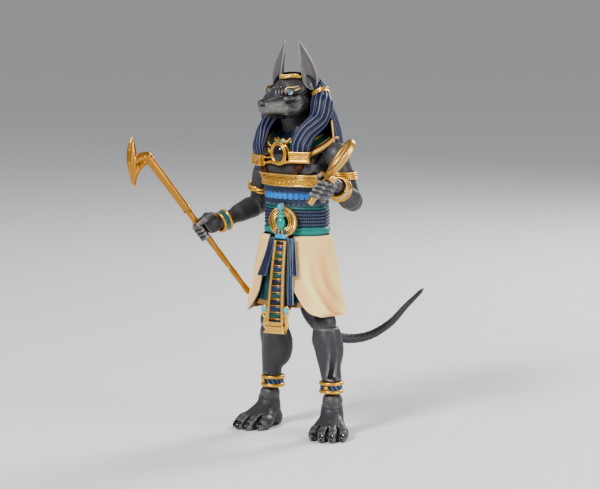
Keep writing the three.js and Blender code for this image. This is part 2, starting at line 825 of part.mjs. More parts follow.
// A flat strip that follows a path, with a width at each point, and pleats across it.
function strip(path, widths, thick, across, pleats = 0) {
  const columns = pleats ? 2 * pleats + 1 : 2;
  const out = v(across.y, -across.x, 0);
  const grid = (depth) =>
    path.map((point, r) =>
      Array.from({ length: columns }, (_, c) => {
        const x = (c / (columns - 1) - 0.5) * widths[r];
        const rise = pleats && c % 2 === 0 ? -0.3 : 0;
        return point
          .clone()
          .addScaledVector(across, x)
          .addScaledVector(out, depth > 0 ? depth + rise : depth);
      }),
    );
  return slab(grid(thick / 2), grid(-thick / 2));
}

// The apron panel: a ladder of inlays between gold rails, with a gold block at its foot.
const APRON = { top: v(3.2, -16.6, 96.9), foot: v(3.1, -21.4, 56.3), rungs: 11 };
const APRON_WIDTH = { top: 6.3, foot: 9.2 };
const APRON_TURN = 3;
function apron() {
  const across = v(Math.cos(rad(APRON_TURN)), Math.sin(rad(APRON_TURN)), 0);
  const out = v(across.y, -across.x, 0);
  const at = (share) => {
    const point = APRON.top.clone().lerp(APRON.foot, share);
    return point.addScaledVector(out, 0.9 * Math.sin(Math.PI * share));
  };
  const width = (share) => lerp(APRON_WIDTH.top, APRON_WIDTH.foot, share);
  const shares = [0, 0.33, 0.67, 1];
  const plate = strip(shares.map(at), shares.map((s) => width(s) - 0.6), 1.2, across);
  const rail = (sign) =>
    strip(
      shares.map((s) => at(s).addScaledVector(across, sign * (width(s) / 2 - 0.6))),
      shares.map(() => 1.2),
      2,
      across,
    );
  const rungs = Array.from({ length: APRON.rungs }, (_, i) => {
    const share = (i + 1) / (APRON.rungs + 0.4);
    const g = block(width(share) - 2.5, 1, 0.6);
    const p = at(share).addScaledVector(out, 0.4);
    return g.applyMatrix4(stand(APRON_TURN, p));
  });
  const foot = [
    block(10.6, 3, 3.4).translate(0, 0, -2.9),
    block(11.6, 3.6, 1.4).translate(0, -0.1, -4.4),
    block(9.8, 3.4, 1.5).translate(0, -0.2, -0.9),
  ].map((g) => g.applyMatrix4(stand(APRON_TURN, APRON.foot)));
  const cobra = (sign) => [
    tube(
      [
        v(sign * 5, 1.1, -3.6),
        v(sign * 6.4, 0.8, -1),
        v(sign * 5.8, 0.5, 2.4),
        v(sign * 7.2, 0.2, 3.6),
      ],
      [0.9, 1.2, 1, 0.5],
      { sides: 4 },
    ).applyMatrix4(stand(APRON_TURN, APRON.foot)),
    block(2.6, 1.2, 3.4).translate(sign * 5, 0.6, 4.6).applyMatrix4(stand(APRON_TURN, APRON.foot)),
    new THREE.SphereGeometry(1, 6, 4)
      .scale(1.7, 1.5, 2)
      .translate(sign * 6.3, 0.3, 6.9)
      .applyMatrix4(stand(APRON_TURN, APRON.foot)),
  ];
  return join([plate, rail(1), rail(-1), ...rungs, ...foot, ...cobra(1), ...cobra(-1)].map(solid));
}

// The ends of the sash, which hang beside the apron panel.
const ACROSS = v(1, 0, 0);
function leftSashEnd() {
  const long = strip(
    [v(7.35, -14.9, 98.4), v(7.4, -15.3, 90), v(7.4, -16.3, 78), v(7.6, -16.2, 64.6)],
    [3.6, 4.4, 5, 5.6],
    1.2,
    ACROSS,
    2,
  );
  const short = strip(
    [v(8.8, -14.4, 98.4), v(9.6, -15, 90), v(10.6, -16, 79.4)],
    [2.6, 3, 3.6],
    1,
    v(1, 0.25, 0).normalize(),
  );
  return join([solid(long), solid(short)]);
}
function rightSashEnd() {
  return solid(
    strip(
      [v(-2.4, -14.9, 98.4), v(-4.6, -15.3, 90), v(-8.4, -16, 78.4)],
      [3.6, 4.6, 5.6],
      1.1,
      v(1, -0.16, 0).normalize(),
      2,
    ),
  );
}

// The skirts hang about this line.
const SKIRT = v(1, 1.5, 0);

// The kilt, open in front: its outline at each height, and where its two front edges are.
const KILT_LEVELS = [
  // height, half width, half depth, left edge, right edge
  [SASH_BOTTOM - GAP, 18.4, 14.2, 6.6, -8],
  [96.4, 19.6, 14.9, 6.5, -8.4],
  [87, 21.5, 16, 6.2, -10.2],
  [76.5, 23.3, 17.3, 7, -12.2],
  [69, 24.6, 18.2, 10.8, -14.6],
  [62, 26.3, 19.5, 16.2, -19.8],
  [59.2, 26.6, 19.8, 21.4, -23.4],
];
const KILT_THICK = 1.3;
const KILT_COLUMNS = 21;
const FOLDS = 7;
function kilt() {
  const surface = (inset) =>
    KILT_LEVELS.map(([z, rx, ry, left, right], row) => {
      const [from, to] = [Math.asin(left / rx), 2 * Math.PI + Math.asin(right / rx)];
      return Array.from({ length: KILT_COLUMNS }, (_, c) => {
        const angle = lerp(from, to, c / (KILT_COLUMNS - 1));
        const fold = 0.1 * row * Math.cos(FOLDS * angle + 0.05 * (z - 60));
        const back = Math.cos(angle) < 0 ? 1 + 0.023 * row * Math.cos(angle) ** 2 : 1;
        return v(
          SKIRT.x + (rx + fold - inset) * Math.sin(angle),
          SKIRT.y - (ry * back + fold - inset) * Math.cos(angle),
          z,
        );
      });
    });
  return solid(slab(surface(0), surface(KILT_THICK)));
}

// The under-skirt: a panel across the front, inside the kilt.
const UNDER_LEVELS = [
  // height, half width, half depth
  [SASH_BOTTOM - GAP, 16.2, 12],
  [88, 19, 13.6],
  [76, 21.2, 14.7],
  [65.6, 22.2, 15.1],
  [65.4, 22.7, 15.6],
  [63.4, 22.9, 15.8],
];
const UNDER_SPREAD = 56;
function underSkirt() {
  const columns = 9;
  const surface = (inset) =>
    UNDER_LEVELS.map(([z, rx, ry], row) =>
      Array.from({ length: columns }, (_, c) => {
        const angle = rad(UNDER_SPREAD) * ((2 * c) / (columns - 1) - 1);
        const r = inset || (c % 2 ? 0.1 * Math.min(row, 4) : 0);
        return v(SKIRT.x + (rx - r) * Math.sin(angle), SKIRT.y - (ry - r) * Math.cos(angle), z);
      }),
    );
  return solid(slab(surface(0), surface(1.1)));
}

// Hips and legs.
const pelvis = moulded(
  IDENTITY,
  blend(4, egg(v(1.2, 1.5, 88), 14.6, 10.6, 12), egg(v(1.4, 3.5, 82), 12, 8.5, 8)),
  [97, 91, 85, 79].map((z) => v(1.2, 1.5, z)),
  { sides: 10, up: v(0, 1, 0) },
);
// How far the middle of each calf is from the line of its shin.
const CALF_OUT = { left: [0.8, 2.6, 0], right: [2.2, 2.8, 0] };
// How far the lower end of each shin is from over its ankle.
const SHIN_OFF = { left: v(0.5, 0.3, 0), right: v(1.4, 0.9, 0) };
const ankleBall = (side) => ANKLE[side].clone().addScaledVector(SHIN_OFF[side], 0.5);
const legForms = Object.fromEntries(
  Object.keys(SIDES).map((side) => {
    const [h, k, a] = [HIP[side], KNEE[side], ANKLE[side]];
    const facing = stand(FOOT_TURN[side], v(0, 0, 0));
    const turned = (x, y, z) => v(x, y, z).applyMatrix4(facing);
    const shinFoot = a.clone().add(SHIN_OFF[side]).add(v(0, 0, 6));
    const calf = k.clone().lerp(a, 0.28).add(turned(...CALF_OUT[side]));
    return [
      side,
      {
        thigh: blend(3, bone(h, k, 8.4, 5.2), egg(h.clone().lerp(k, 0.4), 8.6, 8.8, 14)),
        knee: egg(k.clone().add(v(-0.9, 0, 3.4)), 5.8, 6, 6.4),
        shin: blend(
          4,
          bone(k.clone().add(turned(0, 0.4, 0)), shinFoot, 6, 4.7),
          egg(calf, 7, 6.2, 11),
          egg(k.clone().add(turned(0, 0.4, -3)), 7, 6.6, 7),
        ),
        ankle: egg(ankleBall(side), 5.1, 5.1, 4.6),
      },
    ];
  }),
);
const legs = Object.fromEntries(
  Object.keys(SIDES).map((side) => {
    const [h, k, a] = [HIP[side], KNEE[side], ANKLE[side]];
    const up = v(0, 1, 0);
    const { thigh, knee, shin, ankle } = legForms[side];
    const shinFoot = a.clone().add(SHIN_OFF[side]).add(v(0, 0, 5));
    const rise = (height) => v(0, 0, height);
    return [
      side,
      {
        thigh: moulded(IDENTITY, thigh, straight(h, k, [-0.04, 0.25, 0.55, 0.8, 1]), {
          sides: 10,
          up,
        }),
        knee: moulded(IDENTITY, knee, [-1, 2, 5, 8].map((z) => k.clone().add(rise(z))), {
          sides: 10,
          up,
        }),
        shin: moulded(IDENTITY, shin, straight(k, shinFoot, [-0.06, 0.14, 0.3, 0.44, 0.6, 1]), {
          sides: 10,
          up,
        }),
        ankle: moulded(IDENTITY, ankle, [-2.6, 0.3, 2.4].map((z) => ankleBall(side).add(rise(z))), {
          sides: 10,
          up,
        }),
      },
    ];
  }),
);

// A foot, about the point on the ground under the ankle, facing -Y.
const TOES = [
  // sideways towards the middle of the body, how far forward the tip is
  [-7.3, 15.6],
  [-2.5, 19.4],
  [2.7, 19.6],
  [7.5, 16.6],
];
const FOOT_RIM = 15;
// How much of the round underside is cut off flat.
const SOLE = 1.4;
function foot(side) {
  const sign = SIDES[side];
  const ankle = v(0, 0.6, 11.4);
  const form = blend(
    2.4,
    bone(v(0, 0.6, 9), v(0, 0.6, 15.4), 5.6, 5.5),
    ...TOES.map(([inward, tip]) => bone(ankle, v(sign * inward * 0.9, 6.4 - tip, 4.6), 4.6, 3.9)),
    egg(v(0, 2.6, 5), 5.8, 5.4, 5.4),
  );
  const spine = [
    v(0, 4.8, 5.2),
    v(0, 2.6, 7.4),
    v(0, -0.8, 8),
    v(0, -4.6, 6.4),
    v(0, -8.4, 4.6),
    v(0, -11.6, 3.6),
  ];
  const toes = TOES.flatMap(([inward, tip]) => {
    const x = sign * inward;
    const path = [v(x * 0.9, -tip + 7.4, 5.4), v(x, -tip + 3.4, 3.9), v(x, -tip + 1.1, 2.5)];
    const claw = [v(x, -tip + 1.6, 3.6), v(x, -tip - 0.9, 3), v(x, -tip - 1.8, 1.5)];
    return [
      tube(path, [3.2, 3.1, 2.2], { sides: 6, up: v(1, 0, 0) }),
      tube(claw, [1, 0.85, 0.3], { sides: 3 }),
    ];
  });
  const place = stand(FOOT_TURN[side], v(ANKLE[side].x, ANKLE[side].y, GROUND - SOLE));
  const trunk = skin(form, spine, { sides: 10 });
  const whole = join([trunk, ...toes].map((g) => solid(g.applyMatrix4(place))));
  return under(above(whole, GROUND), FOOT_RIM);
}

// The anklets: two gold rings with a patterned band between, and a bead in front.
// The end of the shin is turned down to go through them.
const ANKLET = { left: 19.9, right: 18.6, height: 6.1 };
const SHIN_END = 4.3;
const ANKLET_PROFILE = [
  [0, 0],
  [1, 0],
  [1.6, 0.8],
  [1, 1.6],
  [1, 4.5],
  [1.6, 5.3],
  [1, 6.1],
  [0, 6.1],
];
const ankletFrame = (side) => {
  const [k, a] = [KNEE[side], ANKLE[side]];
  const middle = a.clone().lerp(k, (ANKLET[side] + ANKLET.height - a.z) / (k.z - a.z));
  return stand(FOOT_TURN[side] - 19, middle.setZ(ANKLET[side]).add(SHIN_OFF[side]));
};
function anklet(side) {
  const bore = SHIN_END + GAP;
  const ring = hoop(bore, bore, ANKLET_PROFILE, 12);
  const bead = new THREE.OctahedronGeometry(1.4).translate(0, -bore - 1, ANKLET.height / 2);
  return join([ring, bead].map((g) => solid(g.applyMatrix4(ankletFrame(side)))));
}
function shinEnd(side) {
  const { height } = ANKLET;
  const peg = stack([[1.2, SHIN_END, SHIN_END], [height + 2, SHIN_END, SHIN_END]], 12);
  return solid(peg.applyMatrix4(ankletFrame(side)));
}

// A matrix whose Z runs along a direction, with its Y as near as can be to another.
function aimed(point, direction, near) {
  const z = direction.clone().normalize();
  const x = near.clone().cross(z).normalize();
  const y = z.clone().cross(x);
  return new THREE.Matrix4().makeBasis(x, y, z).setPosition(point);
}

// The armlets and bracelets.
const ARMLET_AT = { left: 0.42, right: 0.62 };
const BRACELET_AT = { left: 0.8, right: 0.93 };
const ARMLET_PROFILE = [
  [0, -1.9],
  [1.2, -1.9],
  [1.1, -0.6],
  [0.7, 0],
  [1.1, 0.6],
  [1.2, 1.9],
  [0, 1.9],
];
const BRACELET_PROFILE = [
  [0, -2.6],
  [1.4, -2.6],
  [1.5, -1.4],
  [1, -1.2],
  [1, 1.2],
  [1.5, 1.4],
  [1.4, 2.6],
  [0, 2.6],
];

// What the hands hold.
const SCEPTRE = {
  low: v(-26.6, 0.6, 66.4),
  hand: v(-39.4, -21.1, 100.4),
  bend: v(-55.4, -44.6, 136),
};
const ANKH = {
  bottom: v(31, -34.9, 118.2),
  cross: v(36.8, -27.7, 130.4),
  top: v(45.8, -18.6, 148.5),
};
const GRIP = {
  left: {
    axis: ANKH.top.clone().sub(ANKH.bottom),
    on: ANKH.bottom.clone().lerp(ANKH.top, 0.25),
    radius: 1.9,
    // How far round the rod each joint of a finger is, in degrees from the wrist.
    curl: [34, 84, 136, 190],
    // How far each finger slants along the rod from its knuckle.
    slant: 2,
    palm: [4, 4.9, 5.1],
  },
  right: {
    axis: SCEPTRE.bend.clone().sub(SCEPTRE.low),
    on: SCEPTRE.hand,
    radius: 1.7,
    curl: [34, 90, 160, 230],
    slant: 0,
    palm: [3.2, 4.3, 4.9],
  },
};

// A hand closed round a rod: a palm, four fingers and a thumb.
const FINGER = 1.3;
const FINGER_PITCH = 2.35;
// How far the bracelet hides the way from the wrist to the palm.
const WRIST_SHARE = { left: 0, right: 0.3 };
function hand(side) {
  const { axis, on, radius, curl, slant, palm: girth } = GRIP[side];
  const wrist = WRIST[side];
  const a = axis.clone().normalize();
  const toWrist = wrist.clone().sub(on);
  toWrist.addScaledVector(a, -toWrist.dot(a)).normalize();
  const back = a.clone().cross(toWrist).multiplyScalar(-SIDES[side]);
  const round = (angle, rise, r) =>
    on
      .clone()
      .addScaledVector(toWrist, Math.cos(rad(angle)) * r)
      .addScaledVector(back, Math.sin(rad(angle)) * r)
      .addScaledVector(a, rise);
  const reachOut = radius + GAP + FINGER;
  const fingers = [-1.5, -0.5, 0.5, 1.5].map((slot) => {
    const rise = slot * FINGER_PITCH;
    const path = [
      round(curl[0], rise * 0.8 + slant, reachOut + 3.2),
      round(curl[1], rise + 0.4 * slant, reachOut + 0.9),
      round(curl[2], rise - 0.3 * slant, reachOut + 0.1),
      round(curl[3], rise * 0.94 - 0.8 * slant, reachOut),
    ];
    return solid(tube(path, [1.6, 1.6, 1.4, 1.1], { sides: 5, up: a }));
  });
  const thumb = solid(
    tube(
      [
        round(-16, 3, reachOut + 4.2),
        round(-70, 4.6, reachOut + 0.8),
        round(-128, 4.8, reachOut + 0.2),
      ],
      [1.8, 1.6, 1.2],
      { sides: 5, up: a },
    ),
  );
  const heel = on
    .clone()
    .addScaledVector(toWrist, radius + GAP + 2.6)
    .addScaledVector(a, 0.6 * slant);
  const palm = solid(
    tube(
      [wrist.clone().lerp(heel, WRIST_SHARE[side]), wrist.clone().lerp(heel, 0.6), heel],
      girth,
      { sides: 8, up: back, flat: 0.62 },
    ),
  );
  return join([palm, ...fingers, thumb]);
}

// The sceptre: a shaft with a crook and a long beast's head, in the plane that it leans in.
const SCEPTRE_HEAD = [
  // ahead of the bend, above it, radius
  [9.6, 12, 0.7],
  [9.7, 8.6, 1.8],
  [9.8, 4.6, 2.7],
  [9.7, 0, 3],
  [9.1, -4, 2.8],
  [8.8, -8, 2],
  [8.7, -12.6, 1.2],
];
function sceptre(grow = 0) {
  const run = SCEPTRE.bend.clone().sub(SCEPTRE.low);
  const ahead = v(run.x, run.y, 0).normalize();
  const rises = [0, 0.03, 0.07, 0.3, 0.64, 0.65, 1];
  const radii = [1.2, 1.5, 1.35, 1.5, 1.75, 2.1, 2.4].map((radius) => radius + grow);
  const shaft = straight(SCEPTRE.low, SCEPTRE.bend, rises);
  const local = (s, z) =>
    SCEPTRE.bend.clone().addScaledVector(ahead, s).add(v(0, 0, z));
  const crook = [local(1.6, 1.8), local(4, 1.8), local(7, 0.6)];
  const up = ahead.clone().cross(v(0, 0, 1));
  const stem = tube([...shaft, ...crook], [...radii, 2.6, 2.4, 2.4], { sides: 7, up });
  const head = tube(
    SCEPTRE_HEAD.map(([s, z]) => local(s, z)),
    SCEPTRE_HEAD.map(([, , radius]) => radius),
    { sides: 6, up, flat: 0.75 },
  );
  const throat = [local(3.4, -1), local(6, -3.4), local(7.8, -6.6)];
  const jaw = tube(throat, [2, 1.9, 1.4], { sides: 6, up });
  const collarAt = SCEPTRE.low.clone().lerp(SCEPTRE.bend, 0.635);
  const ring = hoop(2, 2, [[-1.2, -0.8], [0.6, -0.8], [0.6, 0.8], [-1.2, 0.8]], 8).applyMatrix4(
    aimed(collarAt, run, v(0, 0, 1)),
  );
  return join([stem, head, jaw, ring].map(solid));
}

// The ankh: a stem, a cross-bar, and a loop like a drop.
const ANKH_EDGE = 27;
function ankh(grow = 0) {
  const axis = ANKH.top.clone().sub(ANKH.bottom).normalize();
  const towards = v(Math.sin(rad(32 + ANKH_EDGE)), -Math.cos(rad(32 + ANKH_EDGE)), 0.1);
  const frame = aimed(ANKH.cross, axis, towards);
  // Y of the frame is the width of the ankh and X its thickness.
  const down = -ANKH.cross.distanceTo(ANKH.bottom);
  const height = ANKH.cross.distanceTo(ANKH.top);
  const more = 2 * grow;
  const stem = block(2.6 + more, 3.2 + more, -down + 1 + more).translate(0, 0, down / 2);
  const bar = block(2.8 + more, 15 + more, 2.8 + more).translate(0, 0, 0.4);
  const drop = Array.from({ length: 14 }, (_, i) => {
    const angle = (2 * Math.PI * i) / 14;
    const rise = (1 - Math.cos(angle)) / 2;
    const wide = 4.4 * Math.sin((Math.PI / 2) * rise ** 0.55);
    return v(0, -wide * Math.sin(angle), 1.6 + (height - 3) * rise);
  });
  const [x, y] = [1.6 + grow, 1.5 + grow];
  const loop = wreath(drop, v(1, 0, 0), [[-x, -y], [x, -y], [x, y], [-x, y]]);
  return join([stem, bar, loop].map((g) => solid(g.applyMatrix4(frame))));
}

// The tail leaves the pelvis at the back, under the kilt.
const TAIL = [
  v(0, 11, 86),
  v(-2.6, 15.6, 76),
  v(-3.8, 17, 66),
  v(-3.9, 19.2, 57),
  v(-2.6, 26.6, 48.4),
  v(0.6, 35.5, 42.6),
  v(6.9, 44.4, 39.8),
  v(14.1, 52.5, 41.1),
  v(21.9, 59.7, 47.1),
  v(28.4, 64.9, 55.9),
  v(36.3, 69.8, 65.3),
];
const tail = (grow = 0) => {
  const path = along(TAIL, 15);
  const radii = path.map((_, i) => lerp(3.1, 1, (i / 14) ** 2.4) + grow);
  return solid(tube(path, radii, { sides: 7 }));
};

// Materials.
const paint = (color, roughness, metalness = 0) =>
  new THREE.MeshStandardMaterial({ color, roughness, metalness });
const CHARCOAL = paint(0x565458, 0.62);
const WIG = paint(0x363d63, 0.55);
const GOLD = paint(0xc6963f, 0.38, 0.75);
const LINEN = paint(0xe6cbb0, 0.72);
const TEAL = paint(0x2c7a74, 0.6);
const NAVY = paint(0x333c60, 0.6);
const BLUE = paint(0x3a6c9c, 0.5);

// Assembly. Each piece is cut clear of those that pass through it or lie against it.
const pieces = new THREE.Group();
function put(name, body, material) {
  const { numProp, vertProperties, triVerts } = main(body).getMesh();
  const geometry = new THREE.BufferGeometry();
  const points = new Float32Array((vertProperties.length / numProp) * 3);
  for (let i = 0; i * numProp < vertProperties.length; i++)
    points.set(vertProperties.subarray(i * numProp, i * numProp + 3), i * 3);
  geometry.setAttribute("position", new THREE.BufferAttribute(points, 3));
  geometry.setIndex(new THREE.BufferAttribute(triVerts, 1));
  geometry.computeVertexNormals();
  const mesh = new THREE.Mesh(geometry, material);
  mesh.name = name;
  pieces.add(mesh);
}

const ears = (grow) => join([ear(1, grow), ear(-1, grow)]);
const clasps = (grow) => join([clasp(1, grow), clasp(-1, grow)]);
const upperArms = [arms.left.upper(GAP), arms.right.upper(GAP)];
const armlet = (side, grow = 0) => {
  const [s, e] = [SHOULDER[side], ELBOW[side]];
  const at = s.clone().lerp(e, ARMLET_AT[side]);
  const to = side === "left" ? at.clone().sub(v(0, 0, 1)) : e;
  const profile = ARMLET_PROFILE.map(([out, rise]) => [
    out ? out + grow : -grow,
    rise + Math.sign(rise) * grow,
  ]);
  return solid(cuff(armForms[side].upper, at, to, profile, { near: v(0, 1, 0) }));
};

put("head", cut(join([skull(), ears(0)]), [neck(ROOM)]), CHARCOAL);
put("circlet", cut(circlet(), [skull(GAP), ears(GAP)]), GOLD);
put(
  "wig",
  cut(join([wigFall(), lock(1), lock(-1)]), [
    skull(SPACE),
    ears(GAP),
    circlet(GAP),
    collar(GAP),
    clasps(GAP),
    chest(SPACE),
    neck(ROOM),
    ...upperArms,
  ]),
  WIG,
);
put(
  "torso",
  cut(above(join([chest(), neck()]), BAND_BOTTOM), [...upperArms, armlet("left", GAP)]),
  CHARCOAL,
);
put("collar", cut(collar(), [chest(GAP), neck(ROOM), ...upperArms]), TEAL);
put("pectoral", cut(pectoral(), [chest(GAP), collar(GAP)]), GOLD);
put("chest_harness", cut(harness(), [clasps(GAP), ...upperArms, armlet("left", 2 * GAP)]), GOLD);
put("scale_corset", corset(), BLUE);
put("sash", sash(), TEAL);
put("scarab_buckle", cut(buckle(), [belly()]), GOLD);
const thighs = [legs.left.thigh(GAP), legs.right.thigh(GAP)];
put("pelvis", cut(under(pelvis(), SASH_BOTTOM - GAP), thighs), CHARCOAL);
put("kilt", cut(kilt(), [tail(GAP)]), LINEN);
put("under_skirt", cut(underSkirt(), thighs), TEAL);
put("apron_panel", apron(), GOLD);
put("left_sash_end", cut(leftSashEnd(), [buckle(GAP), belly()]), NAVY);
put("right_sash_end", cut(rightSashEnd(), [buckle(GAP), belly()]), NAVY);
for (const side of Object.keys(SIDES)) {
  const { upper, fore } = arms[side];
  const [e, w] = [ELBOW[side], WRIST[side]];
  const braceletAt = e.clone().lerp(w, BRACELET_AT[side]);
  const bracelet = cuff(armForms[side].fore, braceletAt, w, BRACELET_PROFILE, { clear: 0.6 });
  const rod = side === "left" ? ankh(GAP) : sceptre(GAP);
  put(side + "_upper_arm", upper(), CHARCOAL);
  put(side + "_forearm", cut(fore(), [upper(GAP)]), CHARCOAL);
  put(side + "_hand", cut(hand(side), [fore(GAP), rod]), CHARCOAL);
  put(side + "_armlet", armlet(side), GOLD);
  put(side + "_bracelet", solid(bracelet), GOLD);
  const { thigh, knee, shin, ankle } = legs[side];
  const k = KNEE[side];
  const low = ANKLET[side];
  const calf = above(under(shin(), k.z + 1.6), low + ANKLET.height + GAP);
  put(side + "_thigh", cut(above(thigh(), k.z + 7.2), [knee(GAP)]), CHARCOAL);
  put(side + "_knee", knee(), CHARCOAL);
  put(side + "_shin", cut(join([calf, shinEnd(side)]), [knee(GAP)]), CHARCOAL);
  put(side + "_anklet", anklet(side), GOLD);
  put(side + "_ankle", under(ankle(), low + 1.2 - GAP), CHARCOAL);
  put(side + "_foot", cut(foot(side), [ankle(GAP)]), CHARCOAL);
}
put("tail", cut(tail(), [pelvis(GAP)]), CHARCOAL);
put("was_sceptre", sceptre(), GOLD);
put("ankh", ankh(), GOLD);

// The figure is brought to its height, with the origin at the middle of its underside.
const box = new THREE.Box3().setFromObject(pieces);
const origin = box.getCenter(v(0, 0, 0)).setZ(box.min.z);
const size = HEIGHT / (box.max.z - box.min.z);
for (const { geometry } of pieces.children)
  geometry.translate(-origin.x, -origin.y, -origin.z).scale(size, size, size);

export default pieces;
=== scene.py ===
import math

import bpy
import numpy as np
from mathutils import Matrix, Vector


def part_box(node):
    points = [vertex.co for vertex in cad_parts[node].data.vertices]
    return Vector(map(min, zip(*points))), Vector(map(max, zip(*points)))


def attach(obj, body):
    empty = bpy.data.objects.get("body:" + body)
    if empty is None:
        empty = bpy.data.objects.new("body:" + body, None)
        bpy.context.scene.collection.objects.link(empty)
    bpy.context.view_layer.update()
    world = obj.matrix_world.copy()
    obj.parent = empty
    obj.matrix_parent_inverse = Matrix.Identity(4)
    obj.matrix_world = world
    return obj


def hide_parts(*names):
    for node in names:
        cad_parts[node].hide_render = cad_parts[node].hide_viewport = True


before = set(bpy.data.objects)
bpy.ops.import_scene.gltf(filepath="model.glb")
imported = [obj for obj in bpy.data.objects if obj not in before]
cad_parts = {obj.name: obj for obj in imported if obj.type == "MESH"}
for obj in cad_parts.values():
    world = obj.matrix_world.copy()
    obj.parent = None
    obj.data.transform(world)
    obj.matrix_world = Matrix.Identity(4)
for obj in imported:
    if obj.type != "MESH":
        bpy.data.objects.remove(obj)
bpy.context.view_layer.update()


def v(*c):
    return np.array(c, float)


def unit(a):
    a = np.asarray(a, float)
    return a / np.maximum(np.linalg.norm(a, axis=-1, keepdims=True), 1e-9)


def lerp(a, b, t):
    return a + (b - a) * t


def smooth(t):
    t = np.clip(t, 0, 1)
    return t * t * (3 - 2 * t)


def around(count):
    """Evenly spaced angles, once round."""
    return 2 * math.pi * np.arange(count) / count


def rgb(c):
    """A colour from its six hex digits. One that is an array already stays."""
    if not isinstance(c, str):
        return c
    c = np.array([int(c[i : i + 2], 16) / 255 for i in (0, 2, 4)])
    return np.where(c < 0.04045, c / 12.92, ((c + 0.055) / 1.055) ** 2.4)


def fade(a, b, t):
    """A colour for each t, from a at 0 to b at 1."""
    return lerp(rgb(a), rgb(b), np.asarray(t)[..., None])


# The solids' sash tells where the figure's own frame lies in the shared one.
WAIST = v(1.5, 1.5, 108)
SASH_BOTTOM = 99.0
SASH_LO, SASH_HI = (np.array(c) * 1000 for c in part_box("sash"))
SASH_MIDDLE = (SASH_LO + SASH_HI) / 2
SHIFT = v(SASH_MIDDLE[0] - WAIST[0], SASH_MIDDLE[1] - WAIST[1], SASH_LO[2] - SASH_BOTTOM)

# Where the figure's joints and parts are, and how far each part turns, in degrees.
SIDES = {"left": 1, "right": -1}
GROUND = -1.6
ANKLE = {"left": v(23.2, -0.6, 16), "right": v(-18.8, 6.2, 14.9)}
KNEE = {"left": v(19.6, -0.2, 51.4), "right": v(-14.6, 4.6, 49.8)}
HIP = {"left": v(10.5, 1, 83), "right": v(-7.5, 2, 83)}
SHOULDER = {"left": v(26.4, -1, 138.6), "right": v(-20.9, 7.4, 135)}
ELBOW = {"left": v(30.8, 6.4, 115.8), "right": v(-27.8, 10.8, 110.6)}
WRIST = {"left": v(33.6, -14.6, 125.6), "right": v(-35.7, -12.4, 103.1)}
CHEST = v(2.5, 2.5, 0)
HEAD = v(-0.2, -2.6, 168.5)
FOOT_TURN = {"left": 23, "right": -8}
SHIN_OFF = {"left": v(0.5, 0.3, 0), "right": v(1.4, 0.9, 0)}
TURN = -11
BAND_BOTTOM, BAND_TOP = 123.4, 129.6
CORSET_BOTTOM = 114.2
DOWN = (0, 0, -1)


# Forms: functions of points (N, 3) that give the distance to a surface, negative inside.
def egg(c, rx, ry, rz):
    c, r = np.array(c, float), v(rx, ry, rz)

    def f(p):
        q = (p - c) / r
        near = np.linalg.norm(q, axis=-1)
        slope = np.linalg.norm(q / r, axis=-1)
        return np.where(slope > 1e-9, near * (near - 1) / np.maximum(slope, 1e-9), -r.min())

    return f


def bone(a, b, ra, rb):
    a, b = np.array(a, float), np.array(b, float)
    run = b - a

    def f(p):
        q = p - a
        t = np.clip(q @ run / (run @ run), 0, 1)
        return np.linalg.norm(q - t[..., None] * run, axis=-1) - lerp(ra, rb, t)

    return f


def chain(points, radii, soft=0.01):
    ends = zip(points, points[1:], radii, radii[1:])
    return blend(soft, *[bone(a, b, ra, rb) for a, b, ra, rb in ends])


def brick(c, half, r=0.2):
    c, half = np.array(c, float), np.array(half, float) - r

    def f(p):
        q = np.abs(p - c) - half
        return np.linalg.norm(np.maximum(q, 0), axis=-1) + np.minimum(q.max(-1), 0) - r

    return f


def disc(c, axis, radius, half, r=0.2):
    c, n = np.array(c, float), unit(axis)

    def f(p):
        q = p - c
        h = q @ n
        out = np.linalg.norm(q - h[..., None] * n, axis=-1)
        d = np.stack([out - radius + r, np.abs(h) - half + r], -1)
        return np.linalg.norm(np.maximum(d, 0), axis=-1) + np.minimum(d.max(-1), 0) - r

    return f


def hoop(c, axis, rx, rz, r, side=(1, 0, 0)):
    """A ring of radius r round an ellipse, about an axis."""
    c, n = np.array(c, float), unit(axis)
    x = unit(np.array(side, float) - n * np.dot(side, n))
    y = np.cross(n, x)

    def f(p):
        q = p - c
        a, b, h = q @ x / rx, q @ y / rz, q @ n
        k = np.sqrt(a * a + b * b)
        g = np.sqrt((a / rx) ** 2 + (b / rz) ** 2)
        return np.hypot(k * (k - 1) / np.maximum(g, 1e-6), h) - r

    return f


def blend(soft, *forms):
    def f(p):
        d = forms[0](p)
        for g in forms[1:]:
            e = g(p)
            h = np.maximum(soft - np.abs(d - e), 0) / soft
            d = np.minimum(d, e) - h * h * soft / 4
        return d

    return f


def carve(soft, form, *cutters):
    rest = blend(soft, lambda p: -form(p), *cutters)
    return lambda p: -rest(p)


def slice_off(form, point, outward, soft=0.4):
    point, n = np.array(point, float), unit(outward)
    return carve(soft, form, lambda p: -((p - point) @ n))


def mirrored(form):
    return lambda p: form(p * v(0, 1, 1) + np.abs(p) * v(1, 0, 0))


def turned(deg, place=(0, 0, 0)):
    """Two functions: from a frame turned about the upright and moved to the figure's, and back."""
    a = math.radians(deg)
    m = np.array(((math.cos(a), -math.sin(a), 0), (math.sin(a), math.cos(a), 0), (0, 0, 1)))
    place = np.array(place, float)
    return (lambda p: np.asarray(p, float) @ m.T + place), (lambda p: (p - place) @ m)


def based(o, x, y, z):
    """The same for a frame with its own axes."""
    m = np.stack([x, y, z])
    return (lambda p: np.asarray(p, float) @ m + o), (lambda p: (p - o) @ m.T)


def inside(back, form):
    return lambda p: form(back(p))


def roughen(form, amount):
    """A form with its surface moved out by amount(p)."""
    return lambda p: form(p) - amount(p)


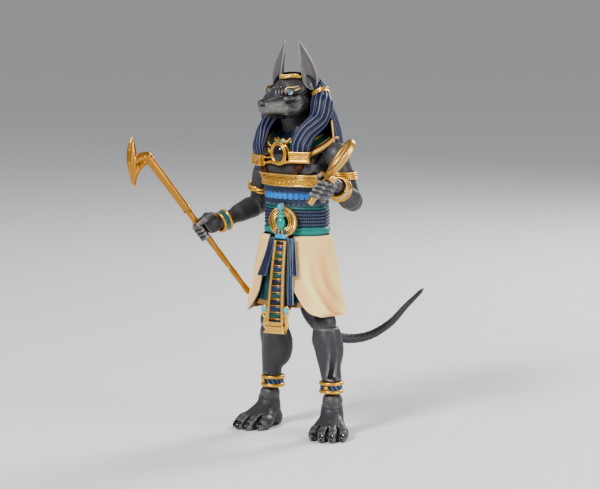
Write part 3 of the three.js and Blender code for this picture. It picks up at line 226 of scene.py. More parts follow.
def waves(p, size, seed=0):
    """A soft random field of about -1 to 1, with lumps of the given size."""
    rng = np.random.default_rng(seed)
    total = 0
    for _ in range(6):
        k = unit(rng.normal(size=3)) * 2 * math.pi / size * rng.uniform(0.7, 1.4)
        total = total + np.sin(p @ k + rng.uniform(0, 6.28))
    return total / 2.6


# Meshes: (points, faces), where faces is a list of arrays of quads or triangles.
BLOCK = 8
# How far from the surface, in blocks, a block's middle may be if its points are read.
BLOCK_REACH = 1.25
BATCH = 800


def grid_points(counts):
    return np.stack(np.meshgrid(*[np.arange(k) for k in counts], indexing="ij"), -1).reshape(-1, 3)


def nets(form, lo, hi, cell, steps=2):
    """The surface of a form inside a box, as quads."""
    lo, hi = np.array(lo, float), np.array(hi, float)
    n = np.ceil((hi - lo) / cell / BLOCK).astype(int) * BLOCK
    blocks = grid_points(n // BLOCK)
    coarse = form(lo + (blocks * BLOCK + (BLOCK - 1) / 2) * cell)
    field = np.repeat(np.repeat(np.repeat(coarse.reshape(n // BLOCK), BLOCK, 0), BLOCK, 1), BLOCK, 2)
    # Only blocks near the surface are read at each of their points.
    close = blocks[np.abs(coarse) < BLOCK * cell * BLOCK_REACH]
    for part in np.array_split(close, max(1, len(close) // BATCH)):
        at = (part[:, None] * BLOCK + grid_points([BLOCK] * 3)[None]).reshape(-1, 3)
        field[at[:, 0], at[:, 1], at[:, 2]] = form(lo + at * cell)
    field[[0, -1]] = field[:, [0, -1]] = field[:, :, [0, -1]] = 1
    # Each cell that the surface crosses gets one point, at the mean of the crossings on its edges.
    solid = field < 0
    corners = [(i, j, k) for i in (0, 1) for j in (0, 1) for k in (0, 1)]

    def at_corner(a, c):
        return a[tuple(slice(k, size - 1 + k) for k, size in zip(c, a.shape))]

    count = sum(at_corner(solid, c).astype(np.int8) for c in corners)
    active = (count > 0) & (count < 8)
    cells = np.argwhere(active)
    index = np.full(active.shape, -1)
    index[active] = np.arange(len(cells))
    total, hits = np.zeros((len(cells), 3)), np.zeros(len(cells))
    value = {c: at_corner(field, c)[active] for c in corners}
    for a in corners:
        for axis in range(3):
            if a[axis]:
                continue
            b = tuple(1 if i == axis else a[i] for i in range(3))
            da, db = value[a], value[b]
            cross = (da < 0) != (db < 0)
            t = np.where(cross, da / np.where(cross, da - db, 1), 0)
            point = np.array(a, float) + t[:, None] * (np.array(b) - np.array(a))
            total += np.where(cross[:, None], point, 0)
            hits += cross
    points = lo + (cells + total / hits[:, None]) * cell
    # Each step along an axis that crosses the surface gets one quad, between four cells.
    faces = []
    step = np.eye(3, dtype=int)
    look = lambda q: index[q[:, 0], q[:, 1], q[:, 2]]
    for axis, u, w in ((0, 1, 2), (1, 2, 0), (2, 0, 1)):
        at = np.argwhere(np.diff(solid, axis=axis))
        at = at[(at[:, u] > 0) & (at[:, w] > 0)]
        quad = np.stack([look(at), look(at - step[u]), look(at - step[u] - step[w]), look(at - step[w])], -1)
        hollow = ~solid[at[:, 0], at[:, 1], at[:, 2]]
        quad[hollow] = quad[hollow][:, ::-1]
        faces.append(quad)
    for _ in range(steps):
        points = settle(form, points, cell * 0.25)
    return points, [np.concatenate(faces)]


def slope(form, p, h=0.05):
    return np.stack([form(p + e) - form(p - e) for e in np.eye(3) * h], -1) / (2 * h)


def settle(form, p, most, level=0.0):
    """Points moved on to the surface of a form, by no more than a given step."""
    g = slope(form, p)
    d = (form(p) - level) / np.maximum((g * g).sum(-1), 1e-6)
    return p - np.clip(d, -most * 2, most * 2)[:, None] * g


def cling(form, points, lift=0.0):
    p = np.array(points, float)
    for _ in range(8):
        p = settle(form, p, 1.0, lift)
    return p


def evenly(line, count):
    """Evenly spaced points along a line of points."""
    run = np.concatenate([[0], np.cumsum(np.linalg.norm(np.diff(line, axis=0), axis=1))])
    at = np.linspace(0, run[-1], count)
    return np.stack([np.interp(at, run, line[:, k]) for k in range(line.shape[1])], -1)


def curve(points, count):
    """Evenly spaced points on a smooth curve through the given ones."""
    p = np.array(points, float)
    p = np.concatenate([2 * p[:1] - p[1:2], p, 2 * p[-1:] - p[-2:-1]])
    spans = len(p) - 3
    t = np.linspace(0, spans, 24 * spans + 1)
    i = np.minimum(t.astype(int), spans - 1)
    f = (t - i)[:, None]
    a, b, c, d = (p[i + k] for k in range(4))
    fine = 0.5 * (2 * b + (c - a) * f + (2 * a - 5 * b + 4 * c - d) * f**2 + (3 * b - a - 3 * c + d) * f**3)
    return evenly(fine, count)


def spread(values, count):
    """A row of values read smoothly at evenly spaced places."""
    values = np.array(values, float)
    x = np.linspace(0, len(values) - 1, count)
    i = np.minimum(x.astype(int), len(values) - 2)
    return lerp(values[i], values[i + 1], (smooth(x - i) + x - i) / 2)


def grid_faces(rows, cols, wrap_cols=True, wrap_rows=False):
    r = np.arange(rows if wrap_rows else rows - 1)
    c = np.arange(cols if wrap_cols else cols - 1)
    r, c = np.meshgrid(r, c, indexing="ij")
    r2, c2 = (r + 1) % rows, (c + 1) % cols
    return np.stack([r * cols + c, r * cols + c2, r2 * cols + c2, r2 * cols + c], -1).reshape(-1, 4)


def lofted(rings):
    """Rings (R, C, 3) as a closed surface with its two ends filled."""
    rows, cols, _ = rings.shape
    points = np.concatenate([rings.reshape(-1, 3), rings[0].mean(0)[None], rings[-1].mean(0)[None]])
    i = np.arange(cols)
    j = (i + 1) % cols
    first, last = rows * cols, (rows - 1) * cols
    ends = [np.stack([j, i, 0 * i + first], -1), np.stack([last + i, last + j, 0 * i + first + 1], -1)]
    return points, [grid_faces(rows, cols), *ends]


def belt(rings):
    """Rings (R, C, 3) joined last to first."""
    return rings.reshape(-1, 3), [grid_faces(rings.shape[0], rings.shape[1], True, True)]


def slab(outer, inner):
    """Two grids (R, C, 3) joined round the edge, as one closed sheet."""
    rows, cols, _ = outer.shape
    back = rows * cols
    front = grid_faces(rows, cols, False)
    at = np.arange(back).reshape(rows, cols)
    rim = np.concatenate([at[0, :-1], at[:-1, -1], at[-1, :0:-1], at[:0:-1, 0]])
    after = np.roll(rim, -1)
    sides = np.stack([after, rim, back + rim, back + after], -1)
    points = np.concatenate([outer.reshape(-1, 3), inner.reshape(-1, 3)])
    return points, [front, back + front[:, ::-1], sides]


def swept(path, section, up, scale=1.0):
    """A section (C, 2) carried along a path, with its second axis towards up."""
    path = np.array(path, float)
    run = unit(np.gradient(path, axis=0))
    across = unit(np.cross(run, np.broadcast_to(np.array(up, float), path.shape)))
    over = np.cross(across, run)
    section = np.array(section, float) * np.reshape(scale, (-1, 1, 1))
    return path[:, None] + section[..., :1] * across[:, None] + section[..., 1:] * over[:, None]


def circle(count, rx=1.0, ry=None):
    a = around(count)
    return np.stack([rx * np.cos(a), (rx if ry is None else ry) * np.sin(a)], -1)


def cord(path, radii, sides):
    return lofted(swept(path, circle(sides), (0, 0, 1), radii))


def ball(c, rx, ry, rz, cols=20, rows=12):
    a, b = math.pi * np.arange(1, rows)[:, None] / rows, around(cols)
    x, y, z = np.sin(a) * np.cos(b), np.sin(a) * np.sin(b), np.cos(a) * np.ones(cols)
    points, faces = lofted(np.stack([x * rx, y * ry, z * rz], -1) + np.array(c))
    points[-2:] = np.array(c) + np.array(((0, 0, rz), (0, 0, -rz)))
    return points, faces


def brick_mesh(c, half, turn=None, bevel=0.14):
    """A block with bevelled edges, turned about its middle."""
    half = np.array(half, float)
    b = min(bevel, *(half * 0.6))
    rings = []
    for z, inset in ((-half[2], b), (-half[2] + b, 0), (half[2] - b, 0), (half[2], b)):
        x, y = half[0] - inset, half[1] - inset
        x_in, y_in = x - b * 0.9, y - b * 0.9
        rings.append([(x_in, -y, z), (x, -y_in, z), (x, y_in, z), (x_in, y, z),
                      (-x_in, y, z), (-x, y_in, z), (-x, -y_in, z), (-x_in, -y, z)])
    points, faces = lofted(np.array(rings, float))
    return (points if turn is None else turn(points)) + np.array(c, float), faces


STRIDE, HALVINGS = 0.4, 12


def reach(form, start, rays, grow=0.0, most=60.0):
    """How far along each ray the surface of a form is."""
    start = np.broadcast_to(start, rays.shape)
    high = np.full(len(rays), STRIDE)
    going = np.ones(len(rays), bool)
    while going.any() and high.max() < most:
        going = form(start + rays * high[:, None]) < grow
        high[going] += STRIDE
    low = np.maximum(high - STRIDE, 0)
    for _ in range(HALVINGS):
        middle = (low + high) / 2
        out = form(start + rays * middle[:, None]) >= grow
        high = np.where(out, middle, high)
        low = np.where(out, low, middle)
    return (low + high) / 2


def cuff(form, start, axis, profile, cols, near=(0, 0, 1), clear=0.45, relief_map=None):
    """A ring of a given profile of (outward, along) that follows the skin of a form."""
    axis = unit(axis)
    across = unit(np.cross(axis, near))
    over = np.cross(across, axis)
    a = around(cols)
    rays = np.cos(a)[:, None] * across + np.sin(a)[:, None] * over
    alongs = sorted(set(round(float(s), 3) for _, s in profile))
    far = np.stack([reach(form, start + axis * s, rays, clear) for s in alongs])
    rings = []
    for out, s in profile:
        skin = np.array([np.interp(s, alongs, far[:, c]) for c in range(cols)])
        extra = relief_map(s, a) if relief_map is not None and out > 0.3 else 0
        rings.append(start + axis * s + rays * (skin + out + extra)[:, None])
    return np.array(rings)


def half_round(out, along, wide, high, count):
    """A rounded rib in a ring's profile of (outward, along)."""
    t = np.linspace(-math.pi / 2, math.pi / 2, count)
    return list(zip(out + wide * np.cos(t), along + high * np.sin(t)))


def bundle(*meshes):
    points, faces, start = [], [], 0
    for p, fs in meshes:
        points.append(p)
        faces += [f + start for f in fs]
        start += len(p)
    return np.concatenate(points), faces


def placed(mesh, to):
    return to(mesh[0]), mesh[1]


def outwards(mesh):
    """The mesh with its faces turned out, by its volume."""
    p, faces = mesh
    share = lambda f, k: np.einsum("ij,ij->", p[f[:, 0]], np.cross(p[f[:, k]], p[f[:, k + 1]]))
    volume = sum(share(f, k) for f in faces for k in range(1, f.shape[1] - 1))
    return mesh if volume > 0 else (p, [f[:, ::-1] for f in faces])


def relief(points, faces, scale):
    """How far each point stands out from those round it, from -1 in a hollow to 1 on a ridge."""
    pairs = [np.stack([f[:, i], np.roll(f, -1, 1)[:, i]], -1) for f in faces for i in range(f.shape[1])]
    pairs = np.unique(np.sort(np.concatenate(pairs), 1), axis=0)
    a, b = np.concatenate([pairs, pairs[:, ::-1]]).T
    n = len(points)
    degree = np.maximum(np.bincount(a, minlength=n), 1)
    normal = np.zeros((n, 3))
    for f in faces:
        face = np.cross(points[f[:, 1]] - points[f[:, 0]], points[f[:, 2]] - points[f[:, 0]])
        for k in range(f.shape[1]):
            for axis in range(3):
                normal[:, axis] += np.bincount(f[:, k], face[:, axis], n)
    normal = unit(normal)
    step = points[b] - points[a]
    turn = ((normal[b] - normal[a]) * step).sum(1) / np.maximum((step * step).sum(1), 1e-6)
    bend = np.bincount(a, turn, n) / degree
    for _ in range(3):
        bend = 0.4 * bend + 0.6 * np.bincount(a, bend[b], n) / degree
    return np.clip(bend * scale, -1, 1)


def plain(mesh, colour):
    """One colour for every point of a mesh."""
    return np.tile(rgb(colour), (len(mesh[0]), 1))


def flat_tone(tone, rest, colour="000000"):
    """The colours of a grid as a list, with one colour for the points that follow the grid's."""
    return np.concatenate([tone.reshape(-1, 3), np.tile(rgb(colour), (rest, 1))])


def piece(name, mesh, material, nodes, tone=None, scale=1.0, stand=0.0):
    """Makes a shown piece from a mesh in millimetres. tone is one colour or one for each point."""
    points, faces = outwards(mesh)
    data = bpy.data.meshes.new(name)
    world = (points + SHIFT) / 1000
    sizes = np.concatenate([np.full(len(f), f.shape[1]) for f in faces])
    corners = np.concatenate([f.reshape(-1) for f in faces])
    data.vertices.add(len(world))
    data.vertices.foreach_set("co", world.astype(np.float32).ravel())
    data.loops.add(len(corners))
    data.loops.foreach_set("vertex_index", corners.astype(np.int32))
    data.polygons.add(len(sizes))
    data.polygons.foreach_set("loop_start", (np.cumsum(sizes) - sizes).astype(np.int32))
    data.update(calc_edges=True)
    data.polygons.foreach_set("use_smooth", np.ones(len(sizes), bool))
    data.validate()
    edge = relief(points, faces, scale) if scale else np.zeros(len(points))
    data.attributes.new("edge", "FLOAT", "POINT").data.foreach_set("value", (edge + stand).astype(np.float32))
    if tone is not None:
        colour = np.ones((len(points), 4), np.float32)
        colour[:, :3] = rgb(tone)
        data.attributes.new("tone", "FLOAT_COLOR", "POINT").data.foreach_set("color", colour.ravel())
    data.materials.append(material)
    obj = bpy.data.objects.new(name, data)
    bpy.context.scene.collection.objects.link(obj)
    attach(obj, "root")
    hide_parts(*nodes)


def gilded(name, mesh, node, tone, scale, stand=0.0):
    piece(name, mesh, GOLD, [node], tone, scale, stand)


# Paint.
PATCH_SCALE = 260
GRAIN_SCALE = 900
GRAIN_DEPTH = 0.0004
COAT_ROUGH = 0.12
HOLLOW, RIDGE, BRIGHT = -1.0, 0.2, 1.3


def paint(name, wash, light, rough, metal=0.0, bump=0.0, coat=0.0, patch=0.12, base=None):
    """Paint whose hollows hold a dark wash and whose ridges are dry-brushed with a light one."""
    m = bpy.data.materials.new(name)
    m.use_nodes = True
    nodes, links = m.node_tree.nodes, m.node_tree.links
    bsdf = next(n for n in nodes if n.type == "BSDF_PRINCIPLED")
    bsdf.inputs["Roughness"].default_value = rough
    bsdf.inputs["Metallic"].default_value = metal
    if coat:
        bsdf.inputs["Coat Weight"].default_value = coat
        bsdf.inputs["Coat Roughness"].default_value = COAT_ROUGH

    def node(kind, **values):
        n = nodes.new(kind)
        for key, value in values.items():
            setattr(n, key, value)
        return n

    where = node("ShaderNodeTexCoord")

    def noise(scale, detail):
        n = node("ShaderNodeTexNoise")
        n.inputs["Scale"].default_value = scale
        n.inputs["Detail"].default_value = detail
        links.new(where.outputs["Object"], n.inputs["Vector"])
        return n.outputs["Fac"]

    edge = node("ShaderNodeAttribute", attribute_name="edge")
    # The noise breaks up both the wash and the dry-brushing.
    stir = node("ShaderNodeMath", operation="MULTIPLY_ADD")
    links.new(noise(PATCH_SCALE, 4), stir.inputs[0])
    stir.inputs[1].default_value = 2 * patch
    stir.inputs[2].default_value = -patch
    total = node("ShaderNodeMath", operation="ADD")
    links.new(edge.outputs["Fac"], total.inputs[0])
    links.new(stir.outputs[0], total.inputs[1])

    def ramp(low, high):
        r = node("ShaderNodeMapRange")
        r.inputs["From Min"].default_value = low
        r.inputs["From Max"].default_value = high
        links.new(total.outputs[0], r.inputs["Value"])
        return r.outputs["Result"]

    def mix(factor, a, b, kind="MIX"):
        n = node("ShaderNodeMix", data_type="RGBA", blend_type=kind)
        links.new(factor, n.inputs["Factor"])
        for value, socket in ((a, n.inputs["A"]), (b, n.inputs["B"])):
            if hasattr(value, "is_output"):
                links.new(value, socket)
            else:
                socket.default_value = (*rgb(value), 1)
        return n.outputs["Result"]

    if base is None:
        base = node("ShaderNodeAttribute", attribute_name="tone").outputs["Color"]
    dark = mix(ramp(0.0, HOLLOW), base, wash, "MULTIPLY")
    links.new(mix(ramp(RIDGE, BRIGHT), dark, light), bsdf.inputs["Base Color"])
    if bump:
        b = node("ShaderNodeBump")
        b.inputs["Strength"].default_value = bump
        b.inputs["Distance"].default_value = GRAIN_DEPTH
        links.new(noise(GRAIN_SCALE, 3), b.inputs["Height"])
        links.new(b.outputs["Normal"], bsdf.inputs["Normal"])
    return m


SKIN = paint("skin_paint", "77757c", "959291", 0.46, bump=0.3, base="3c3a3e")
# The face's dry-brushing is nearly white: it is the dry-brushed paint and also a painted highlight, the sheen
# on its ridges.
FACE = paint("face_paint", "47454a", "bdbab5", 0.42, bump=0.25)
WIG = paint("wig_paint", "7a7a98", "a9a8c8", 0.5, patch=0.1)
GOLD = paint("gold_paint", "7d4c20", "f7d98c", 0.32, metal=0.8)
CLOTH = paint("cloth_paint", "dcae84", "fff0c8", 0.7, bump=0.25, patch=0.06)
ENAMEL = paint("enamel_paint", "6a9aaa", "a8ecf4", 0.25, patch=0.08, coat=0.5)
ENAMEL_SOFT = paint("soft_enamel", "8a8f98", "e6cf94", 0.38, patch=0.08, metal=0.2)
DULL = paint("dull_paint", "7c8694", "93a5bc", 0.5, patch=0.1)
BLACK = paint("black_gloss", "202020", "404040", 0.12, coat=0.8, patch=0.02, base="0b0b0d")
GOLD_TONE = rgb("d8a44a")

# Body.
chest_out, chest_in = turned(TURN, CHEST)
head_out, _ = turned(TURN, HEAD)
chest_plain = mirrored(
    blend(
        4,
        egg((0, 0.5, 128), 18.6, 14, 19),
        egg((8.6, -7.5, 132.5), 8.8, 6.3, 6.5),
        bone((5, 3, 146.5), (18, 1.5, 140.5), 5, 5.5),
        bone((11, 7, 140), (12, 5, 126), 6, 5),
    )
)
UNDER_BREAST = [(1.5, -14.4, 126.8), (7, -14.6, 125.6), (13, -12, 127.4), (16.5, -8, 130)]
chest_form = carve(
    1.2,
    chest_plain,
    bone((0, -15.5, 137), (0, -15, 127), 1.2, 0.9),
    mirrored(chain(UNDER_BREAST, [0.8, 1.1, 1, 0.6])),
    mirrored(bone((15, -8.6, 131), (17, -4, 140), 0.8, 0.9)),
)
neck_form = blend(
    1.6,
    bone((0, 2.5, 140), (-1.6, -3.5, 158), 7.8, 6.4),
    bone((2, -6, 145), (4.5, -2.5, 157), 1.4, 1.6),
    bone((-2.6, -6, 145), (-6.4, -2.5, 157), 1.4, 1.6),
)
ELBOW_FORM_RADIUS = 5.0
KNEE_OFF = v(-0.9, 0, 3.4)


def skin_piece(name, form, lo, hi, node, cell=0.6, scale=1.5):
    """A piece of bare skin, with a faint unevenness all over."""
    mesh = nets(roughen(form, lambda p: 0.02 * waves(p, 2.6, 7)), lo, hi, cell)
    piece(name, mesh, SKIN, [node], scale=scale)


def arm(side):
    """The upper arm and the forearm."""
    s, e, w = SHOULDER[side], ELBOW[side], WRIST[side]
    upper_at, fore_at = (lambda t: lerp(s, e, t)), (lambda t: lerp(e, w, t))
    fore_run, up_run = unit(w - e), unit(e - s)
    front = unit(np.cross(up_run, np.cross(fore_run, up_run)))
    sideways = np.cross(up_run, front)
    upper = blend(
        1.6,
        egg(s, 6.2, 6.5, 6.9),
        bone(upper_at(0.3), upper_at(0.88), 4.9, 4.5),
        egg(e, *[ELBOW_FORM_RADIUS] * 3),
        bone(upper_at(0.32) + front * 1.9, upper_at(0.66) + front * 1.8, 3.9, 3.6),
        bone(upper_at(0.22) - front * 1.6, upper_at(0.6) - front * 1.9, 3.9, 3.3),
    )
    grooves = []
    for k in (-sideways, sideways):
        path = [upper_at(0.3) + k * 6.6, upper_at(0.5) + k * 6.0 - front * 0.2, upper_at(0.86) + k * 5.6]
        grooves.append(chain(path, [0.3, 0.9, 0.4]))
    turn = np.cross(fore_run, front)
    turn = unit(turn) if np.linalg.norm(turn) > 0.1 else sideways
    over = np.cross(turn, fore_run)
    fore = blend(
        1.5,
        bone(fore_at(0.06), w, 4.5, 3.45),
        bone(fore_at(0.2) + turn * 1.2, fore_at(0.5) + turn * 0.8, 4.7, 3.8),
        bone(fore_at(0.16) - turn * 1.1, fore_at(0.46) - turn * 0.8, 4.6, 3.9),
        bone(fore_at(0.22) + over * 1.2, fore_at(0.5) + over * 0.9, 4.5, 3.8),
    )
    return carve(0.8, upper, *grooves), fore


def leg(side):
    """The thigh, knee, shin and ankle."""
    h, k, a = HIP[side], KNEE[side], ANKLE[side]
    ball_at, a = a + 0.5 * SHIN_OFF[side], a + SHIN_OFF[side]
    to, _ = turned(FOOT_TURN[side])
    t = lambda *c: to(np.array(c, float))
    calf = lerp(k, a, 0.28) + (t(0.8, 2.6, 0) if side == "left" else t(2.2, 2.8, 0))
    thigh = blend(3, bone(h, k, 8.4, 5.2), egg(lerp(h, k, 0.4), 8.6, 8.8, 14))
    shin = blend(
        2.2,
        bone(k + t(0, 0.4, 0), a + v(0, 0, 6), 5.9, 4.6),
        egg(calf, 6.9, 6.1, 11),
        egg(k + t(0, 0.4, -3), 7, 6.6, 7),
        bone(k + t(0, -4.2, -3), a + t(0, -2.2, 9), 2, 1.8),
        bone(k + t(-3.2, 0, -6), a + t(-2, 0, 10), 3.4, 2.4),
    )
    inner = [k + t(-2.9, -7.3, -4), k + t(-3.6, -6.6, -14), k + t(-2.8, -5.7, -25)]
    outer = [k + t(3.7, -6.9, -2), k + t(4.8, -5.5, -12), k + t(2.8, -5.0, -23), a + t(2.5, -4.2, 10)]
    shin = carve(1.8, shin, chain(inner, [0.7, 1.0, 0.4]), chain(outer, [0.6, 1.0, 1.0, 0.3]))
    return thigh, egg(k + KNEE_OFF, 5.8, 6, 6.4), shin, egg(ball_at, 5.1, 5.1, 4.6)


# Head, in its own frame: the figure's left is +x and the face looks along -y.
EYE = v(6.6, -6.9, 1.1)
skull = mirrored(
    blend(
        1.6,
        egg((0, 2.6, 1.9), 9.3, 9.9, 7.5),
        bone((0, -6, -3), (0, -17.6, -5.5), 5.6, 3),
        egg((0, -20.4, -3.9), 1.75, 1.5, 1.35),
        bone((1.8, -17.8, -7.1), (4.9, -9.4, -7.2), 1.8, 2.3),
        bone((4.9, -9.4, -7.2), (6.2, -4, -7), 2.3, 3.2),
        bone((0, -16.6, -9.3), (0, -5, -9.4), 1.6, 3),
        egg((5.2, -2, -8.8), 3.9, 5, 3.3),
        egg((6.2, 2.4, -5.5), 3.6, 5.4, 5.6),
        egg((6, -1.4, -5.4), 3.8, 5.2, 5),
        bone((2.4, -10.6, 0.9), (7, -8.8, 2.1), 1.5, 1.35),
        bone((7, -8.8, 2.1), (8.6, -2.6, 3.6), 1.35, 0.7),
        bone((6, -9.2, -2), (8.4, -3, -1.7), 1.2, 1.5),
        bone((0, -8, 0.2), (0, -14, -2.4), 4.1, 2.4),
        bone((0, -14, -2.4), (0, -19.4, -4.1), 2.4, 1.9),
        bone((2.1, -17.4, -5.2), (4, -11.5, -3.6), 1.3, 1.7),
    )
)
MOUTH = [(0.3, -19.6, -8.8), (2.4, -18.9, -9.1), (4.3, -14.4, -9.3), (5.5, -11.2, -9.3), (6.3, -9.2, -8.6),
         (7.3, -7.6, -9.3), (8.2, -6, -10.4)]
head_form = carve(
    0.5,
    skull,
    mirrored(egg(EYE + v(1.0, -1.0, 0), 1.7, 2.1, 0.9)),
    mirrored(chain(MOUTH, [0.5, 0.55, 0.6, 0.6, 0.7, 0.6, 0.3])),
    mirrored(chain([(2.0, -18.6, -2.9), (3.2, -14.6, -1.9), (3.9, -12.0, -0.8)], [0.3, 0.4, 0.2])),
    mirrored(egg((1.4, -21.6, -4.9), 0.75, 0.9, 0.55)),
    bone((0, -21.9, -5.4), (0, -20.1, -8.4), 0.3, 0.3),
)
# Soft swells and hollows of the face: middle, how far it spreads, height.
SWELLS = [
    ((6.6, -9.6, -6.2), 1.9, 0.45),
    ((9.0, -5.0, -5.1), 1.9, -0.9),
    ((8.8, -1.5, -3.5), 2.6, 0.45),
    ((5.0, -12.5, -6.6), 2.2, 0.35),
    ((8.9, -4.6, 0.5), 1.1, -0.4),
    ((5.0, -9.9, 0.1), 1.0, -0.35),
    ((7.4, -7.6, -10.2), 1.3, 0.35),
]


def face_lines(p):
    """Wrinkles over the bridge of the nose and brow, and folds along the muzzle and cheek."""
    x, y, z = np.abs(p[:, 0]), p[:, 1], p[:, 2]
    side = np.stack([x, y, z], 1)
    ring = np.linalg.norm((side - EYE - v(1.2, 0, 0.6)) * v(1, 0.9, 0.75), axis=1)
    brow = smooth((z + 0.8) / 1.5) * smooth((-3 - y) / 4) * smooth((6.4 - x) / 1.4)
    brow = brow * smooth((ring - 3.1) / 0.9) * smooth((9.5 - ring) / 3)
    muzzle = smooth((x - 2.6) / 1.2) * smooth((-8.5 - y) / 2.5) * smooth((-3.0 - z) / 1.2)
    muzzle = muzzle * smooth((z + 8.4) / 1.2)
    cheek = smooth((y + 7) / 3) * smooth((1.4 - z) / 2) * smooth((z + 7) / 3) * smooth((x - 4) / 2)
    rise = 0.27 * brow * np.sin(ring * 4.4) + 0.1 * cheek * np.sin((y * 0.7 - z * 1.3) * 2.6)
    rise = rise + 0.07 * muzzle * np.sin((z + 0.34 * y) * 4.0 + 0.8 * np.sin(y * 0.9))
    for middle, reaches, height in SWELLS:
        rise = rise + height * np.exp(-((side - np.array(middle)) ** 2).sum(1) / reaches**2)
    return rise + 0.03 * waves(p, 2.2, 3)


FACE_FORM = roughen(head_form, face_lines)
EARS = np.array([
    # share of the height, half width, depth, hollow
    [0, 0.5, 0.7, 0.2],
    [0.05, 1.7, 1.6, 0.9],
    [0.12, 2.9, 2.5, 1.9],
    [0.23, 4.0, 3.1, 2.7],
    [0.36, 4.4, 3.1, 2.6],
    [0.5, 4.2, 2.8, 2.1],
    [0.62, 3.7, 2.4, 1.7],
    [0.75, 2.7, 1.9, 1.2],
    [0.89, 1.5, 1.2, 0.6],
    [1, 0.25, 0.3, 0.05],
])


def ear_mesh(sign, rows=44, cols=28):
    flip = v(sign, 1, 1)
    root, bulge, tip = (v(12.1, 3.0, 2.2) * flip, v(12.3, 2.5, 9) * flip, v(4.6, 1.6, 26.3) * flip)
    t = np.linspace(0, 1, rows)[:, None]
    path = (1 - t) ** 2 * root + 2 * (t * (1 - t)) * bulge + t**2 * tip
    run = unit(np.gradient(path, axis=0))
    across = unit(np.cross(run, v(0.32, -0.94, 0.06) * flip))
    front = np.cross(across, run)
    wide, deep, hollow = (np.interp(t, EARS[:, 0], EARS[:, k]) for k in (1, 2, 3))
    x, y = np.cos(around(cols)), -np.sin(around(cols))
    flat = np.where(y > 0, 0.42, 1.0) * y
    dish = np.clip(y, 0, None) * smooth((0.92 - np.abs(x)) / 0.5)
    crease = 0.16 * np.sin(6.0 * x) * smooth((y - 0.2) / 0.5) * smooth((0.7 - t) / 0.4)
    lift = flat * deep - dish * hollow * 1.15 + crease
    rings = path[:, None] + across[:, None] * (x * wide)[..., None] + front[:, None] * lift[..., None]
    return lofted(head_out(rings))


EYE_RADII = (1.4, 1.4, 1.2)
IRIS, PUPIL = 0.85, 0.38
BROW_LINES = [
    [(6.3, -10.2, 1.9), (7.2, -8.6, 3.2), (8.2, -5.2, 3.7), (8.8, -2.0, 4.8)],
    [(8.4, -5.9, 2.0), (8.9, -3.7, 2.7), (9.3, -1.3, 3.6)],
]


def build_head():
    points, faces = nets(FACE_FORM, (-10.5, -22.5, -15.5), (10.5, 13.5, 11.5), 0.36, 3)
    x, y, z = np.abs(points[:, 0]), points[:, 1], points[:, 2]
    # Painted light on the face: the muzzle's sides and the cheeks are painted lighter as a painted highlight,
    # and the lower jaw under the mouth is painted darker as painted shade. The nose pad is black paint.
    muzzle = smooth((-6.5 - y) / 4) * smooth((-2.2 - z) / 2) * smooth((z + 9.2) / 0.8)
    cheek = smooth((y + 6) / 3) * smooth((0 - z) / 2) * smooth((z + 9.5) / 3) * smooth((x - 5) / 2)
    jaw_shade = smooth((-9.2 - z) / 0.6) * smooth((-4 - y) / 3)
    nose = smooth((-19.8 - y) / 0.5) * smooth((z + 5.7) / 0.4)
    tone = fade("3b3a3c", "686664", muzzle + 0.9 * cheek)
    tone = fade(fade(tone, "232325", 0.8 * jaw_shade), "0c0c0e", nose)
    ears = bundle(ear_mesh(1), ear_mesh(-1))
    tone = np.concatenate([tone, plain(ears, "63605f")])
    piece("head_skin", bundle((head_out(points), faces), ears), FACE, ["head"], tone, 0.6)
    flips = [v(sign, 1, 1) for sign in (1, -1)]
    eyes = bundle(*[ball((EYE - v(0.1, -0.2, 0)) * flip, *EYE_RADII) for flip in flips])
    tone = plain(eyes, "dfeefc")
    for flip in flips:
        far = np.linalg.norm(eyes[0] - (EYE + v(1.0, -1.15, 0.15)) * flip, axis=1)[:, None]
        tone = np.where(far < IRIS, rgb("4f9fd8"), tone)
        tone = np.where(far < PUPIL, rgb("0d1420"), tone)
    piece("eyes", placed(eyes, head_out), ENAMEL, ["head"], tone, 0)
    wide = 0.36 * np.sin(np.linspace(0.25, math.pi - 0.25, 24)) ** 0.5
    lines = []
    for flip in flips:
        for line in BROW_LINES:
            path = cling(FACE_FORM, curve(np.array(line) * flip, 24), 0.06)
            lines.append(cord(head_out(path), wide, 8))
    gilded("brow_lines", bundle(*lines), "head", "e2bf72", 0.2, 0.2)


